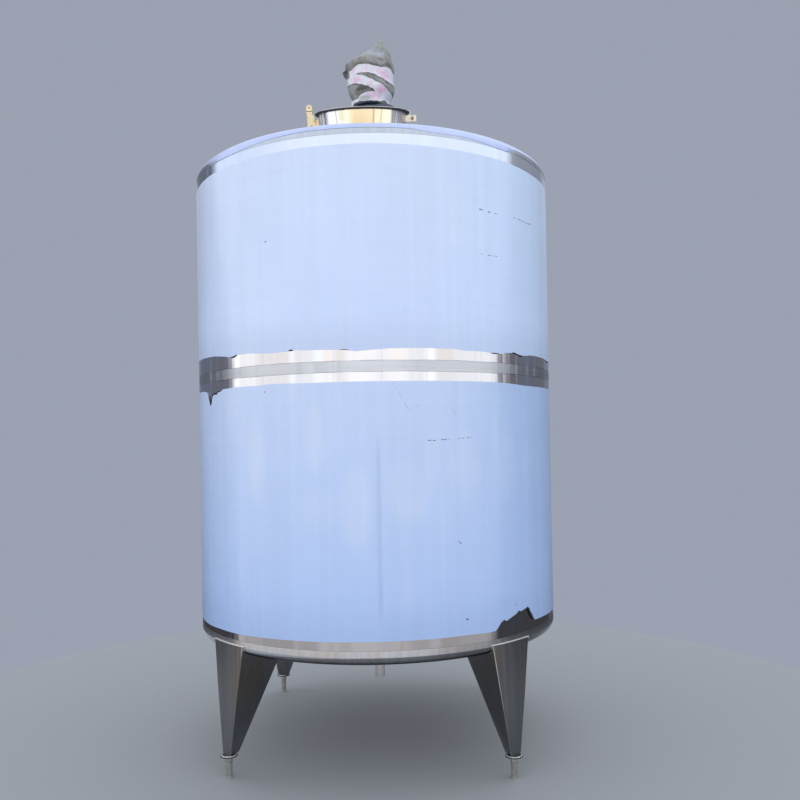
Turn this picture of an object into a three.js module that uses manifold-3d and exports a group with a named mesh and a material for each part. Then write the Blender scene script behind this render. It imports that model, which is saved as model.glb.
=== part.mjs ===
// Vertical stainless steel mixing tank: a round shell in two courses, a low cone roof, a shallow
// cone bottom and four three-sided sheet legs on screw feet. A hinged manhole with a swing clamp
// sits on the front of the roof, and a geared motor under a tied cloth bag stands on its middle.
// Millimetres, +Z up, origin on the floor under the middle of the tank, front towards -Y.

import * as THREE from "three";
import { ConvexGeometry } from "three/addons/geometries/ConvexGeometry.js";
import { mergeVertices } from "three/addons/utils/BufferGeometryUtils.js";
import Module from "manifold-3d";

// Shell
const SHELL_RADIUS = 900;
const WALL = 4;
const SHELL_BOTTOM = 626;
const GIRTH_SEAM = 1812;
const SHELL_TOP = 2787;
const ROUND_SIDES = 72;
const WELD_HEIGHT = 8;
const WELD_PROUD = 2;

// Clearance left between neighbours that touch on the real tank
const GAP = 0.3;

// Roof and bottom: straight flange, rounded knuckle, then a cone
const ROOF = { edge: SHELL_TOP + GAP, up: 1, flange: 13, knuckle: 40, slope: THREE.MathUtils.degToRad(15) };
const BOTTOM = { edge: SHELL_BOTTOM - GAP, up: -1, flange: 26, knuckle: 38, slope: THREE.MathUtils.degToRad(10) };
const KNUCKLE_STEPS = 4;

// Protective film left on the shell courses
const FILM = 0.8;
const FILM_LOWER = [658, 1748];
const FILM_UPPER = [1885, 2741];

// Legs: an upright outer face as wide as LEG_WIDTH and a ridge that slants in under the bottom
const LEG_TOP = 602;
const LEG_FOOT = 102.3;
const LEG_WIDTH_TOP = 252;
const LEG_WIDTH_FOOT = 64;
const LEG_FACE_TOP = 903;
const LEG_FACE_FOOT = 914;
const LEG_RIDGE_FOOT = 850;
const LEG_RIDGE_SLANT = 0.58;
const LEG_ROUNDING = 1;
const LEGS = [
  ["front_left", -45],
  ["front_right", 45],
  ["back_left", -135],
  ["back_right", 135],
];

// Screw feet
const FOOT_RADIUS = 902;
const FOOT_PLATE = { radius: 39, bottom: 96, top: LEG_FOOT - GAP };
const FOOT_NUT = { radius: 17, bottom: 71, top: 96 - GAP };
const FOOT_SCREW = { radius: 14.5, edge: 2, top: 71 - GAP };
const FOOT_SIDES = 24;

// Outlet under the middle of the bottom
const OUTLET_RADIUS = 25.4;
const OUTLET_BORE = 23;
const OUTLET_END = 272;
const OUTLET_SIDES = 24;

// Manhole, square to the roof: sizes along its own axis start at the roof's surface
const MANHOLE_SEAT = 478;
const NECK_RADIUS = 202.5;
const NECK_BORE = 198.5;
const NECK_TOP = 86;
const NECK_SKIRT = 30;
const GASKET_RADIUS = 220;
const GASKET_TOP = 90;
const LID_RADIUS = 217;
const LID_THICKNESS = 3;
const LID_DOME_RADIUS = 180;
const LID_DOME_RISE = 15;
const LID_DOME_STEPS = 4;
const MANHOLE_SIDES = 48;

// Lid hinge on the right of the manhole: two ears with a web, and a strap that drops between them
const HINGE = { x: 234, z: 60 };
const HINGE_EAR = { inner: 15, outer: 20, low: 46, high: 73, end: 252 };
const HINGE_WEB = 4;
const HINGE_STRAP_HALF = 13;
const HINGE_STRAP_THICKNESS = 4;
const HINGE_STRAP_START = 188;
const HINGE_STRAP_RISER = [221.5, 226];
const HINGE_KNUCKLE = 9;

// Swing clamp on the left of the manhole: a forked block with an eye on top, on a single lug.
// Its sizes start at its pin.
const CLAMP = { x: -238, z: 37 };
const CLAMP_LUG = { half: 5, round: 12, low: 7, high: 70, step: -217 };
const CLAMP_BLOCK = { left: -19, right: 17.5, low: -25, high: 59, half: 14 };
const CLAMP_SLOPE = { start: 37, side: 3 };
const CLAMP_SLOT = 36;
const CLAMP_EYE = { x: -9, radius: 13.5, high: 100, hole: 4.5, half: 9 };
const CLAMP_GROOVE = 2;
const PIN_RADIUS = 5;
const PIN_HEAD = { radius: 8, thickness: 3 };
const PIN_SIDES = 20;
const KNUCKLE_SIDES = 24;

// Agitator on the middle of the roof
const PAD = { radius: 130, low: 3030, top: 3096 };
const STOOL = { flange: 120, thick: 14, column: 75, topFlange: 108, top: 3204 };
const GEARBOX = { radius: 72, reach: 59, housingTop: 3261.5, flange: 92, top: 3288 };
const MOTOR = { base: 88, baseHeight: 18, body: 86, cowl: 95, cowlBottom: 3455, top: 3500, edge: 12 };
const AGITATOR_SIDES = 36;

// Cloth bag over the motor: height, radius, and how far the middle leans to the right
const BAG_OUTLINE = [
  [3265, 96, 0],
  [3290, 98, 1],
  [3308, 104, 5],
  [3325, 113, 7],
  [3348, 121.5, 6.5],
  [3400, 122, 4.5],
  [3440, 122, 5.5],
  [3460, 124, 5.5],
  [3475, 124.5, 4],
  [3490, 121.5, 3.5],
  [3505, 106, 14],
  [3520, 91.5, 24],
  [3535, 81, 31.5],
  [3550, 69.5, 39],
  [3565, 55.5, 46],
  [3580, 41.5, 52],
  [3595, 29, 55],
  [3610, 18.5, 55.5],
  [3625, 8.5, 55],
  [3637, 0, 55],
];
const BAG_WALL = 3.7;
const BAG_SIDES = AGITATOR_SIDES;

const FINISHES = {
  polished: { color: 0xb9b4a9, roughness: 0.18, metalness: 1 },
  brushed: { color: 0x8d8f94, roughness: 0.38, metalness: 1 },
  weld: { color: 0xa39e93, roughness: 0.45, metalness: 1 },
  film: { color: 0xa9c0ee, roughness: 0.35, metalness: 0 },
  paleFilm: { color: 0xcbdafa, roughness: 0.35, metalness: 0 },
  rubber: { color: 0x15161b, roughness: 0.6, metalness: 0 },
  lug: { color: 0xd9bd83, roughness: 0.25, metalness: 1 },
  paint: { color: 0x2f4a68, roughness: 0.45, metalness: 0 },
  cloth: { color: 0x6f7467, roughness: 0.9, metalness: 0 },
};

const wasm = await Module();
wasm.setup();

const tank = new THREE.Group();

// Merges shared corners, drops flat slivers at the poles and turns the faces outwards.
function closed(geometry) {
  const bare = geometry.clone();
  bare.deleteAttribute("normal");
  bare.deleteAttribute("uv");
  const merged = mergeVertices(bare, 1e-4);
  const corners = merged.index.array;
  const position = merged.attributes.position;
  const kept = [];
  for (let i = 0; i < corners.length; i += 3) {
    const [a, b, c] = [corners[i], corners[i + 1], corners[i + 2]];
    if (a !== b && b !== c && c !== a) kept.push(a, b, c);
  }
  const at = (i) => new THREE.Vector3().fromBufferAttribute(position, i);
  let volume = 0;
  for (let i = 0; i < kept.length; i += 3) {
    volume += at(kept[i]).dot(at(kept[i + 1]).cross(at(kept[i + 2])));
  }
  merged.setIndex(volume < 0 ? kept.reverse() : kept);
  return merged;
}

function toSolid(geometry) {
  const shape = closed(geometry);
  const vertProperties = new Float32Array(shape.attributes.position.array);
  const triVerts = new Uint32Array(shape.index.array);
  return new wasm.Manifold(new wasm.Mesh({ numProp: 3, vertProperties, triVerts }));
}

function toGeometry(solid) {
  const mesh = solid.getMesh();
  const geometry = new THREE.BufferGeometry();
  geometry.setAttribute("position", new THREE.BufferAttribute(mesh.vertProperties, 3));
  geometry.setIndex(new THREE.BufferAttribute(mesh.triVerts, 1));
  geometry.computeVertexNormals();
  return geometry;
}

function cut(geometry, ...cutters) {
  let solid = toSolid(geometry);
  for (const cutter of cutters) solid = solid.subtract(toSolid(cutter));
  return toGeometry(solid);
}

function common(geometry, other) {
  return toGeometry(toSolid(geometry).intersect(toSolid(other)));
}

function join(...geometries) {
  return toGeometry(geometries.map(toSolid).reduce((sum, next) => sum.add(next)));
}

function addMesh(parent, name, geometry, finish) {
  const mesh = new THREE.Mesh(closed(geometry), new THREE.MeshStandardMaterial(FINISHES[finish]));
  mesh.name = name;
  parent.add(mesh);
  return mesh;
}

// A body of revolution about Z from points of radius and height.
function turned(points, sides = ROUND_SIDES) {
  const outline = points.map(([radius, height]) => new THREE.Vector2(radius, height));
  return new THREE.LatheGeometry(outline, sides).rotateX(Math.PI / 2);
}

function ring(inner, outer, low, high, sides = ROUND_SIDES) {
  return turned([[inner, low], [outer, low], [outer, high], [inner, high], [inner, low]], sides);
}

function disc(radius, low, high, sides) {
  return turned([[0, low], [radius, low], [radius, high], [0, high]], sides);
}

function box(low, high) {
  const size = high.map((value, i) => value - low[i]);
  const middle = high.map((value, i) => (value + low[i]) / 2);
  return new THREE.BoxGeometry(...size).translate(...middle);
}

// A plate whose outline lies in X and Z, between two values of Y.
function plate(shape, front, back) {
  const options = { depth: back - front, bevelEnabled: false, curveSegments: 10 };
  return new THREE.ExtrudeGeometry(shape, options).rotateX(Math.PI / 2).translate(0, back, 0);
}

// A round bar along Y, as far to both sides of a point given by x and z.
function crossBar(at, radius, reach, sides) {
  return new THREE.CylinderGeometry(radius, radius, reach * 2, sides).translate(at.x, 0, at.z);
}

// One surface line of a head, from the shell's edge to the middle, a given depth under its outside.
function headLine(head, inset) {
  const radius = head.knuckle - inset;
  const middle = SHELL_RADIUS - head.knuckle;
  const start = head.edge + head.up * head.flange;
  const turn = Math.PI / 2 - head.slope;
  const line = [[SHELL_RADIUS - inset, head.edge]];
  for (let i = 0; i <= KNUCKLE_STEPS; i += 1) {
    const angle = (turn * i) / KNUCKLE_STEPS;
    line.push([middle + radius * Math.cos(angle), start + head.up * radius * Math.sin(angle)]);
  }
  const [coneRadius, coneStart] = line[line.length - 1];
  line.push([0, coneStart + head.up * coneRadius * Math.tan(head.slope)]);
  return line;
}

function headShell(head) {
  return turned([...headLine(head, WALL).reverse(), ...headLine(head, 0)]);
}

// The space that a head takes up, with the clearance round it, as a cutter for what stands on it.
function headSpace(head) {
  return turned([[0, head.edge], ...headLine(head, -GAP)]);
}

function coneHeight(head, radius) {
  const line = headLine(head, 0);
  return line[line.length - 1][1] - head.up * radius * Math.tan(head.slope);
}

// The front or back half of a round piece, cut on the plane through the tank's sides.
function halfOf(geometry, side) {
  const reach = SHELL_RADIUS * 2;
  const near = GAP / 2;
  const low = side === "front" ? [-reach, -reach, -reach] : [-reach, near, -reach];
  const high = side === "front" ? [reach, -near, reach * 2] : [reach, reach, reach * 2];
  return common(geometry, box(low, high));
}

function addShell() {
  const lower = ring(SHELL_RADIUS - WALL, SHELL_RADIUS, SHELL_BOTTOM, GIRTH_SEAM - GAP / 2);
  const upper = ring(SHELL_RADIUS - WALL, SHELL_RADIUS, GIRTH_SEAM + GAP / 2, SHELL_TOP);
  for (const side of ["front", "back"]) {
    addMesh(tank, `shell_lower_${side}`, halfOf(lower, side), "polished");
    addMesh(tank, `shell_upper_${side}`, halfOf(upper, side), "polished");
  }
  const inner = SHELL_RADIUS + GAP;
  const low = GIRTH_SEAM - WELD_HEIGHT / 2;
  addMesh(tank, "girth_weld", ring(inner, SHELL_RADIUS + WELD_PROUD, low, low + WELD_HEIGHT), "weld");
  addMesh(tank, "film_lower", ring(inner, inner + FILM, ...FILM_LOWER), "film");
  addMesh(tank, "film_upper", ring(inner, inner + FILM, ...FILM_UPPER), "paleFilm");
}

// The manhole's own frame: its origin on the roof's surface and Z square to the roof.
function manholeFrame() {
  const frame = new THREE.Group();
  frame.position.set(0, -MANHOLE_SEAT, coneHeight(ROOF, MANHOLE_SEAT));
  frame.rotation.x = ROOF.slope;
  frame.updateMatrix();
  return frame;
}

function addRoof(frame) {
  const bore = disc(NECK_BORE, -NECK_SKIRT * 2, NECK_TOP * 2, MANHOLE_SIDES).applyMatrix4(frame.matrix);
  const roof = headShell(ROOF);
  addMesh(tank, "roof_front", cut(halfOf(roof, "front"), bore), "polished");
  addMesh(tank, "roof_back", halfOf(roof, "back"), "polished");
}

function addBottom() {
  const hole = disc(OUTLET_BORE, 0, SHELL_BOTTOM, OUTLET_SIDES);
  addMesh(tank, "bottom_head", cut(headShell(BOTTOM), hole), "polished");
  const pipe = ring(OUTLET_BORE, OUTLET_RADIUS, OUTLET_END, SHELL_BOTTOM - WALL, OUTLET_SIDES);
  addMesh(tank, "outlet_pipe", cut(pipe, headSpace(BOTTOM)), "brushed");
}

function legBlank() {
  const ridgeTop = LEG_RIDGE_FOOT - LEG_RIDGE_SLANT * (LEG_TOP - LEG_FOOT);
  const corners = [
    [-LEG_WIDTH_FOOT / 2, -LEG_FACE_FOOT, LEG_FOOT],
    [LEG_WIDTH_FOOT / 2, -LEG_FACE_FOOT, LEG_FOOT],
    [0, -LEG_RIDGE_FOOT, LEG_FOOT],
    [-LEG_WIDTH_TOP / 2, -LEG_FACE_TOP, LEG_TOP],
    [LEG_WIDTH_TOP / 2, -LEG_FACE_TOP, LEG_TOP],
    [0, -ridgeTop, LEG_TOP],
  ];
  const prism = new ConvexGeometry(corners.map((corner) => new THREE.Vector3(...corner)));
  const rounded = turned([
    [0, LEG_FOOT],
    [LEG_FACE_FOOT + LEG_ROUNDING, LEG_FOOT],
    [LEG_FACE_TOP + LEG_ROUNDING, LEG_TOP],
    [0, LEG_TOP],
  ]);
  return cut(common(prism, rounded), headSpace(BOTTOM));
}

function addLegs() {
  const blank = legBlank();
  for (const [place, degrees] of LEGS) {
    const corner = new THREE.Group();
    corner.rotation.z = THREE.MathUtils.degToRad(degrees);
    tank.add(corner);
    addMesh(corner, `leg_${place}`, blank, "brushed");
    const foot = new THREE.Group();
    foot.position.set(0, -FOOT_RADIUS, 0);
    corner.add(foot);
    const { radius, bottom, top } = FOOT_PLATE;
    addMesh(foot, `foot_plate_${place}`, disc(radius, bottom, top, FOOT_SIDES), "brushed");
    const nut = disc(FOOT_NUT.radius, FOOT_NUT.bottom, FOOT_NUT.top, 6);
    addMesh(foot, `foot_nut_${place}`, nut, "brushed");
    const screw = turned([
      [0, 0],
      [FOOT_SCREW.radius - FOOT_SCREW.edge, 0],
      [FOOT_SCREW.radius, FOOT_SCREW.edge],
      [FOOT_SCREW.radius, FOOT_SCREW.top],
      [0, FOOT_SCREW.top],
    ], FOOT_SIDES);
    addMesh(foot, `foot_screw_${place}`, screw, "brushed");
  }
}

function addNeckAndLid(frame) {
  const roofSpace = headSpace(ROOF).applyMatrix4(frame.matrix.clone().invert());
  const neck = ring(NECK_BORE, NECK_RADIUS, -NECK_SKIRT, NECK_TOP, MANHOLE_SIDES);
  addMesh(frame, "manhole_neck", cut(neck, roofSpace), "polished");
  const gasket = ring(NECK_BORE, GASKET_RADIUS, NECK_TOP + GAP, GASKET_TOP, MANHOLE_SIDES);
  addMesh(frame, "manhole_gasket", gasket, "rubber");
  const seat = GASKET_TOP + GAP;
  const dome = [];
  for (let i = 0; i <= LID_DOME_STEPS; i += 1) {
    const share = i / LID_DOME_STEPS;
    dome.push([LID_DOME_RADIUS * share, seat + LID_DOME_RISE * (1 - share * share)]);
  }
  const raised = dome.map(([radius, height]) => [radius, height + LID_THICKNESS]);
  const rim = [[LID_RADIUS, seat], [LID_RADIUS, seat + LID_THICKNESS]];
  addMesh(frame, "manhole_lid", turned([...dome, ...rim, ...raised.reverse()], MANHOLE_SIDES), "brushed");
}

// A pin along Y with a head at each end; its heads start this far from its middle.
function pin(reach) {
  const headEnd = reach + PIN_HEAD.thickness;
  const outline = [
    [0, -headEnd],
    [PIN_HEAD.radius, -headEnd],
    [PIN_HEAD.radius, -reach],
    [PIN_RADIUS, -reach],
    [PIN_RADIUS, reach],
    [PIN_HEAD.radius, reach],
    [PIN_HEAD.radius, headEnd],
    [0, headEnd],
  ];
  return turned(outline, PIN_SIDES).rotateX(Math.PI / 2);
}

function pinHole(at) {
  return crossBar(at, PIN_RADIUS + GAP, NECK_RADIUS, PIN_SIDES);
}

// The neck with the clearance round it, as a cutter for what is welded to it.
function neckSpace() {
  return disc(NECK_RADIUS + GAP, -NECK_SKIRT, GASKET_TOP, MANHOLE_SIDES);
}

function hingeBracket() {
  const { inner, outer, low, high, end } = HINGE_EAR;
  const blank = box([NECK_BORE, -outer, low], [end, outer, high]);
  const middle = box([NECK_BORE - 1, -inner, low + HINGE_WEB], [end + 1, inner, high + 1]);
  return cut(blank, middle, neckSpace(), pinHole(HINGE));
}

function addHinge(frame) {
  addMesh(frame, "hinge_bracket", hingeBracket(), "lug");
  const pinMesh = addMesh(frame, "hinge_pin", pin(HINGE_EAR.outer + GAP), "brushed");
  pinMesh.position.set(HINGE.x, 0, HINGE.z);
  const low = GASKET_TOP + GAP * 2 + LID_THICKNESS;
  const high = low + HINGE_STRAP_THICKNESS;
  const [inner, outer] = HINGE_STRAP_RISER;
  const outline = new THREE.Shape([
    new THREE.Vector2(HINGE_STRAP_START, low),
    new THREE.Vector2(inner, low),
    new THREE.Vector2(inner, HINGE.z),
    new THREE.Vector2(HINGE.x, HINGE.z),
    new THREE.Vector2(HINGE.x, HINGE.z + HINGE_KNUCKLE),
    new THREE.Vector2(outer, HINGE.z + HINGE_KNUCKLE),
    new THREE.Vector2(outer, low),
    new THREE.Vector2(outer - HINGE_STRAP_THICKNESS, high),
    new THREE.Vector2(HINGE_STRAP_START, high),
  ]);
  const arm = plate(outline, -HINGE_STRAP_HALF, HINGE_STRAP_HALF);
  const strap = join(arm, crossBar(HINGE, HINGE_KNUCKLE, HINGE_STRAP_HALF, KNUCKLE_SIDES));
  addMesh(frame, "hinge_strap", cut(strap, pinHole(HINGE)), "brushed");
}

// The lug's outline: a step up beside the neck and a round end about the pin.
function lugOutline() {
  const { round, low, high, step } = CLAMP_LUG;
  const shape = new THREE.Shape();
  shape.moveTo(-NECK_BORE, low);
  shape.lineTo(-NECK_BORE, high);
  shape.lineTo(step, high);
  shape.lineTo(CLAMP.x, CLAMP.z + round);
  shape.absarc(CLAMP.x, CLAMP.z, round, Math.PI / 2, (Math.PI * 3) / 2, false);
  shape.lineTo(step, low);
  return shape;
}

function clampBlock() {
  const { left, right, low, high, half } = CLAMP_BLOCK;
  const shape = new THREE.Shape();
  shape.moveTo(left, low);
  shape.lineTo(right, low);
  shape.lineTo(right, CLAMP_SLOPE.start);
  shape.lineTo(CLAMP_SLOPE.side, high);
  shape.lineTo(left, high);
  const slot = box(
    [left - 1, -CLAMP_LUG.half - GAP, low - 1],
    [right + 1, CLAMP_LUG.half + GAP, CLAMP_SLOT],
  );
  return cut(plate(shape, -half, half), slot);
}

// The eye on top of the block, with a narrower stem that leaves a groove between them.
function clampEye() {
  const { x, radius, high, hole, half } = CLAMP_EYE;
  const stem = box(
    [x - radius + CLAMP_GROOVE, -half + CLAMP_GROOVE, CLAMP_SLOT],
    [x + radius - CLAMP_GROOVE, half - CLAMP_GROOVE, high - radius],
  );
  const shape = new THREE.Shape();
  shape.moveTo(x - radius, CLAMP_BLOCK.high + CLAMP_GROOVE);
  shape.lineTo(x + radius, CLAMP_BLOCK.high + CLAMP_GROOVE);
  shape.absarc(x, high - radius, radius, 0, Math.PI, false);
  const eyeHole = crossBar({ x, z: high - radius }, hole, half * 2, KNUCKLE_SIDES);
  return cut(join(plate(shape, -half, half), stem), eyeHole);
}

function addClamp(frame) {
  const lug = cut(plate(lugOutline(), -CLAMP_LUG.half, CLAMP_LUG.half), neckSpace(), pinHole(CLAMP));
  addMesh(frame, "clamp_bracket", lug, "lug");
  const pinMesh = addMesh(frame, "clamp_pin", pin(CLAMP_BLOCK.half + GAP), "brushed");
  pinMesh.position.set(CLAMP.x, 0, CLAMP.z);
  const swing = new THREE.Group();
  swing.position.set(CLAMP.x, 0, CLAMP.z);
  frame.add(swing);
  const body = cut(join(clampBlock(), clampEye()), pinHole({ x: 0, z: 0 }));
  addMesh(swing, "clamp_arm", body, "lug");
}

// The gearbox: a long housing whose far end is offset to the right, and a flange for the motor.
function gearbox() {
  const { radius, reach, housingTop, flange, top } = GEARBOX;
  const low = STOOL.top + GAP;
  const shape = new THREE.Shape();
  shape.absarc(0, 0, radius, Math.PI / 2, (Math.PI * 3) / 2, false);
  shape.absarc(reach, 0, radius, -Math.PI / 2, Math.PI / 2, false);
  const options = { depth: housingTop - low, bevelEnabled: false, curveSegments: AGITATOR_SIDES / 2 };
  const housing = new THREE.ExtrudeGeometry(shape, options).translate(0, 0, low);
  return join(housing, disc(flange, low, top, AGITATOR_SIDES));
}

function addAgitator() {
  const pad = cut(disc(PAD.radius, PAD.low, PAD.top, AGITATOR_SIDES * 2), headSpace(ROOF));
  addMesh(tank, "agitator_pad", pad, "brushed");
  const stoolLow = PAD.top + GAP;
  addMesh(tank, "agitator_stool", turned([
    [0, stoolLow],
    [STOOL.flange, stoolLow],
    [STOOL.flange, stoolLow + STOOL.thick],
    [STOOL.column, stoolLow + STOOL.thick],
    [STOOL.column, STOOL.top - STOOL.thick],
    [STOOL.topFlange, STOOL.top - STOOL.thick],
    [STOOL.topFlange, STOOL.top],
    [0, STOOL.top],
  ], AGITATOR_SIDES), "brushed");
  addMesh(tank, "gearbox", gearbox(), "paint");
  const motorLow = GEARBOX.top + GAP;
  addMesh(tank, "motor", turned([
    [0, motorLow],
    [MOTOR.base, motorLow],
    [MOTOR.base, motorLow + MOTOR.baseHeight],
    [MOTOR.body, motorLow + MOTOR.baseHeight],
    [MOTOR.body, MOTOR.cowlBottom],
    [MOTOR.cowl, MOTOR.cowlBottom],
    [MOTOR.cowl, MOTOR.top - MOTOR.edge],
    [MOTOR.cowl - MOTOR.edge, MOTOR.top],
    [0, MOTOR.top],
  ], AGITATOR_SIDES), "paint");
}

// How far the bag's middle leans to the right at a height.
function bagLean(height) {
  const above = BAG_OUTLINE.findIndex(([level]) => level >= height);
  if (above <= 0) return 0;
  const [lowLevel, , lowLean] = BAG_OUTLINE[above - 1];
  const [highLevel, , highLean] = BAG_OUTLINE[above];
  return THREE.MathUtils.mapLinear(height, lowLevel, highLevel, lowLean, highLean);
}

function addBag() {
  const outside = BAG_OUTLINE.map(([height, radius]) => [radius, height]);
  const inside = outside.slice(0, -1).map(([radius, height]) => [radius - BAG_WALL, height]);
  inside.push([0, outside[outside.length - 1][1] - BAG_WALL * 2]);
  const bag = turned([...inside.reverse(), ...outside], BAG_SIDES);
  const position = bag.attributes.position;
  for (let i = 0; i < position.count; i += 1) {
    position.setX(i, position.getX(i) + bagLean(position.getZ(i)));
  }
  addMesh(tank, "motor_cover", bag, "cloth");
}

const manhole = manholeFrame();
tank.add(manhole);
addShell();
addRoof(manhole);
addBottom();
addLegs();
addNeckAndLid(manhole);
addHinge(manhole);
addClamp(manhole);
addAgitator();
addBag();

export default tank;
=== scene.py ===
"""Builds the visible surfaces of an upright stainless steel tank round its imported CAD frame.

Lengths are in metres. Angles round the tank are in degrees from its front, which faces -Y, and
are positive towards +X.
"""

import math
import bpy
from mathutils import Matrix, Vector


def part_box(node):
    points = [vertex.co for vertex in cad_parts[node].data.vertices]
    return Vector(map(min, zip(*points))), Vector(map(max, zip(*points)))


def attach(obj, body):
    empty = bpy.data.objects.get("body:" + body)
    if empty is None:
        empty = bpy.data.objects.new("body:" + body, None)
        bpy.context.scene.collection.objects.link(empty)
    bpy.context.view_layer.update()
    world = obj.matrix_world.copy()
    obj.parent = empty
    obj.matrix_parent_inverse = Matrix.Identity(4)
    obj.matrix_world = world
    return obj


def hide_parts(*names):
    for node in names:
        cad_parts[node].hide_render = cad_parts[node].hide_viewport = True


bl_info = {
    "name": "Vertical Stainless Steel Tank",
    "version": (1, 0, 0),
    "blender": (4, 5, 0),
    "location": "3D View > Sidebar > Tank",
    "description": "Builds the visible surfaces of an upright tank round its packed CAD frame",
    "category": "Object",
}

import bmesh
import bpy
from bpy.props import FloatProperty, FloatVectorProperty, IntProperty, PointerProperty
from bpy.types import Operator, Panel, PropertyGroup
from mathutils import Matrix, Quaternion, Vector, noise

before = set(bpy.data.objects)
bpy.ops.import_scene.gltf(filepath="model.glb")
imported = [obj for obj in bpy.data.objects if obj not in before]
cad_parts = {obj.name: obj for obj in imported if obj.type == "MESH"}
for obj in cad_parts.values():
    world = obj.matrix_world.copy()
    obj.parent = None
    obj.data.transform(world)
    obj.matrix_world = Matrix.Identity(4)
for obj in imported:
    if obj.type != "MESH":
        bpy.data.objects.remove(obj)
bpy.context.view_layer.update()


def low(node):
    """Lowest corner of a CAD node's box."""
    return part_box(node)[0]


def high(node):
    """Highest corner of a CAD node's box."""
    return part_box(node)[1]


# Shell
SHELL_RADIUS = high("shell_lower_front").x
SHELL_BOTTOM = low("shell_lower_front").z
SHELL_TOP = high("shell_upper_front").z
GIRTH_SEAM = (high("shell_lower_front").z + low("shell_upper_front").z) / 2
WALL = 0.004
GROUND_ZONE = 0.0235
FILM_GAP = 0.0003
FILM_THICKNESS = 0.0008

# Heads: straight flange, rounded knuckle, then a cone
ROOF = {
    "edge": low("roof_back").z, "up": 1, "flange": 0.013, "knuckle": 0.040, "slope": math.radians(15),
}
BOTTOM = {
    "edge": high("bottom_head").z, "up": -1, "flange": 0.026, "knuckle": 0.038, "slope": math.radians(10),
}
KNUCKLE_STEPS = 16
CONE_STEPS = 12
PIPE_BORE = 0.023

# Film edges as (angle, height) points where they show; behind, they keep about level
UPPER_FILM_TOP = [
    (-70, 2.748), (-49, 2.745), (-28, 2.742), (5, 2.743), (30, 2.738), (48, 2.739), (60, 2.736),
    (70, 2.741),
]
UPPER_FILM_BOTTOM = [
    (-75, 1.909), (-67, 1.909), (-56, 1.907), (-50, 1.903), (-44, 1.893), (-41, 1.884), (-39.2, 1.886),
    (-38.2, 1.892), (-34, 1.893), (-28, 1.886), (-25, 1.884), (-19.4, 1.887), (-18.6, 1.891),
    (-15, 1.887), (-10, 1.885), (-6, 1.883), (-4, 1.882), (-0.4, 1.874), (3, 1.879), (9, 1.885),
    (18, 1.887), (27, 1.885), (30, 1.880), (37, 1.880), (40, 1.874), (42.5, 1.875), (46, 1.883),
    (48.5, 1.884), (50, 1.879), (52, 1.874), (57, 1.884), (62, 1.886), (70, 1.884), (75, 1.874),
    (79, 1.880),
]
LOWER_FILM_TOP = [
    (-72, 1.755), (-60, 1.750), (-57.4, 1.744), (-56.2, 1.739), (-55.4, 1.731), (-54.9, 1.718),
    (-54.4, 1.700), (-53.8, 1.681), (-53.1, 1.690), (-52.7, 1.712), (-52.0, 1.728), (-50.6, 1.733),
    (-49.4, 1.731), (-48.4, 1.739), (-46.5, 1.740), (-45.6, 1.746), (-40, 1.750), (-30, 1.748),
    (-25, 1.752), (-15, 1.748), (8, 1.748), (40, 1.749), (48, 1.745), (54, 1.741), (65, 1.742),
    (76, 1.744),
]
LOWER_FILM_BOTTOM = [
    (-75, 0.652), (-58, 0.651), (-49, 0.655), (-39, 0.655), (-30, 0.659), (-20, 0.662), (3, 0.666),
    (30, 0.666), (36, 0.662), (38.8, 0.664), (39.6, 0.674), (40.6, 0.690), (41.4, 0.694), (42.1, 0.702),
    (43.0, 0.693), (44.5, 0.703), (47.6, 0.717), (48.4, 0.726), (49.3, 0.719), (51.6, 0.727),
    (53.0, 0.731), (53.6, 0.716), (54.2, 0.700), (55.0, 0.688), (55.9, 0.672), (57.3, 0.665),
    (65, 0.662), (79, 0.654),
]

# Scratches through the film: (angle, height) points, half width and how much of the line is cut;
# then small spots: angle, height and length
SCRATCHES = [
    ([(34.3, 2.503), (36.4, 2.499), (38.6, 2.495), (40.6, 2.496), (42.6, 2.493)], 0.0022, 0.55),
    ([(49.2, 2.500), (52.4, 2.499), (55.8, 2.496), (59.6, 2.499)], 0.0021, 0.6),
    ([(34.9, 2.306), (38.6, 2.304), (42.3, 2.306)], 0.0012, 0.45),
    ([(17.4, 1.499), (20.5, 1.497), (24.5, 1.502), (28.5, 1.505), (32.7, 1.509)], 0.0015, 0.75),
    ([(9.2, 1.739), (10.6, 1.706), (12.1, 1.662), (13.4, 1.624)], 0.0009, 0.8),
    ([(13.9, 1.625), (16.6, 1.650), (18.9, 1.686), (19.8, 1.714)], 0.0007, 0.7),
    ([(24.8, 1.636), (26.0, 1.622), (26.6, 1.606)], 0.0009, 0.6),
    ([(-16.2, 1.742), (-16.1, 1.700)], 0.0005, 0.6),
]
SPOTS = [
    (-26.5, 2.366, 0.006), (27.3, 1.060, 0.006), (29.0, 0.733, 0.008), (65.7, 2.725, 0.006),
    (68.8, 2.696, 0.006), (26.8, 1.067, 0.004), (47.0, 0.758, 0.004), (-27.5, 1.719, 0.005),
]

# Edges that the roof's film is cut to: radius round the manhole, and margin round the pad
FILM_ROUND_MANHOLE = 0.236
FILM_ROUND_PAD = 0.032
# First and last angle of each change along the roof film's edge: in front it climbs off the
# straight flange once and comes back down in two steps, and to the right and left of the sides it
# stays up on the knuckle
FILM_CLIMBS = ((-42, -10), (13, 22), (30, 44))
FILM_SIDES = ((47, 52), (-56, -50))
# How far the edge hangs down the flange, the most that it may, and the angle round the knuckle
# that it climbs to
FILM_HANG = 0.0115
FILM_HANG_MOST = 0.0125
FILM_START = math.radians(14)

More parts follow.
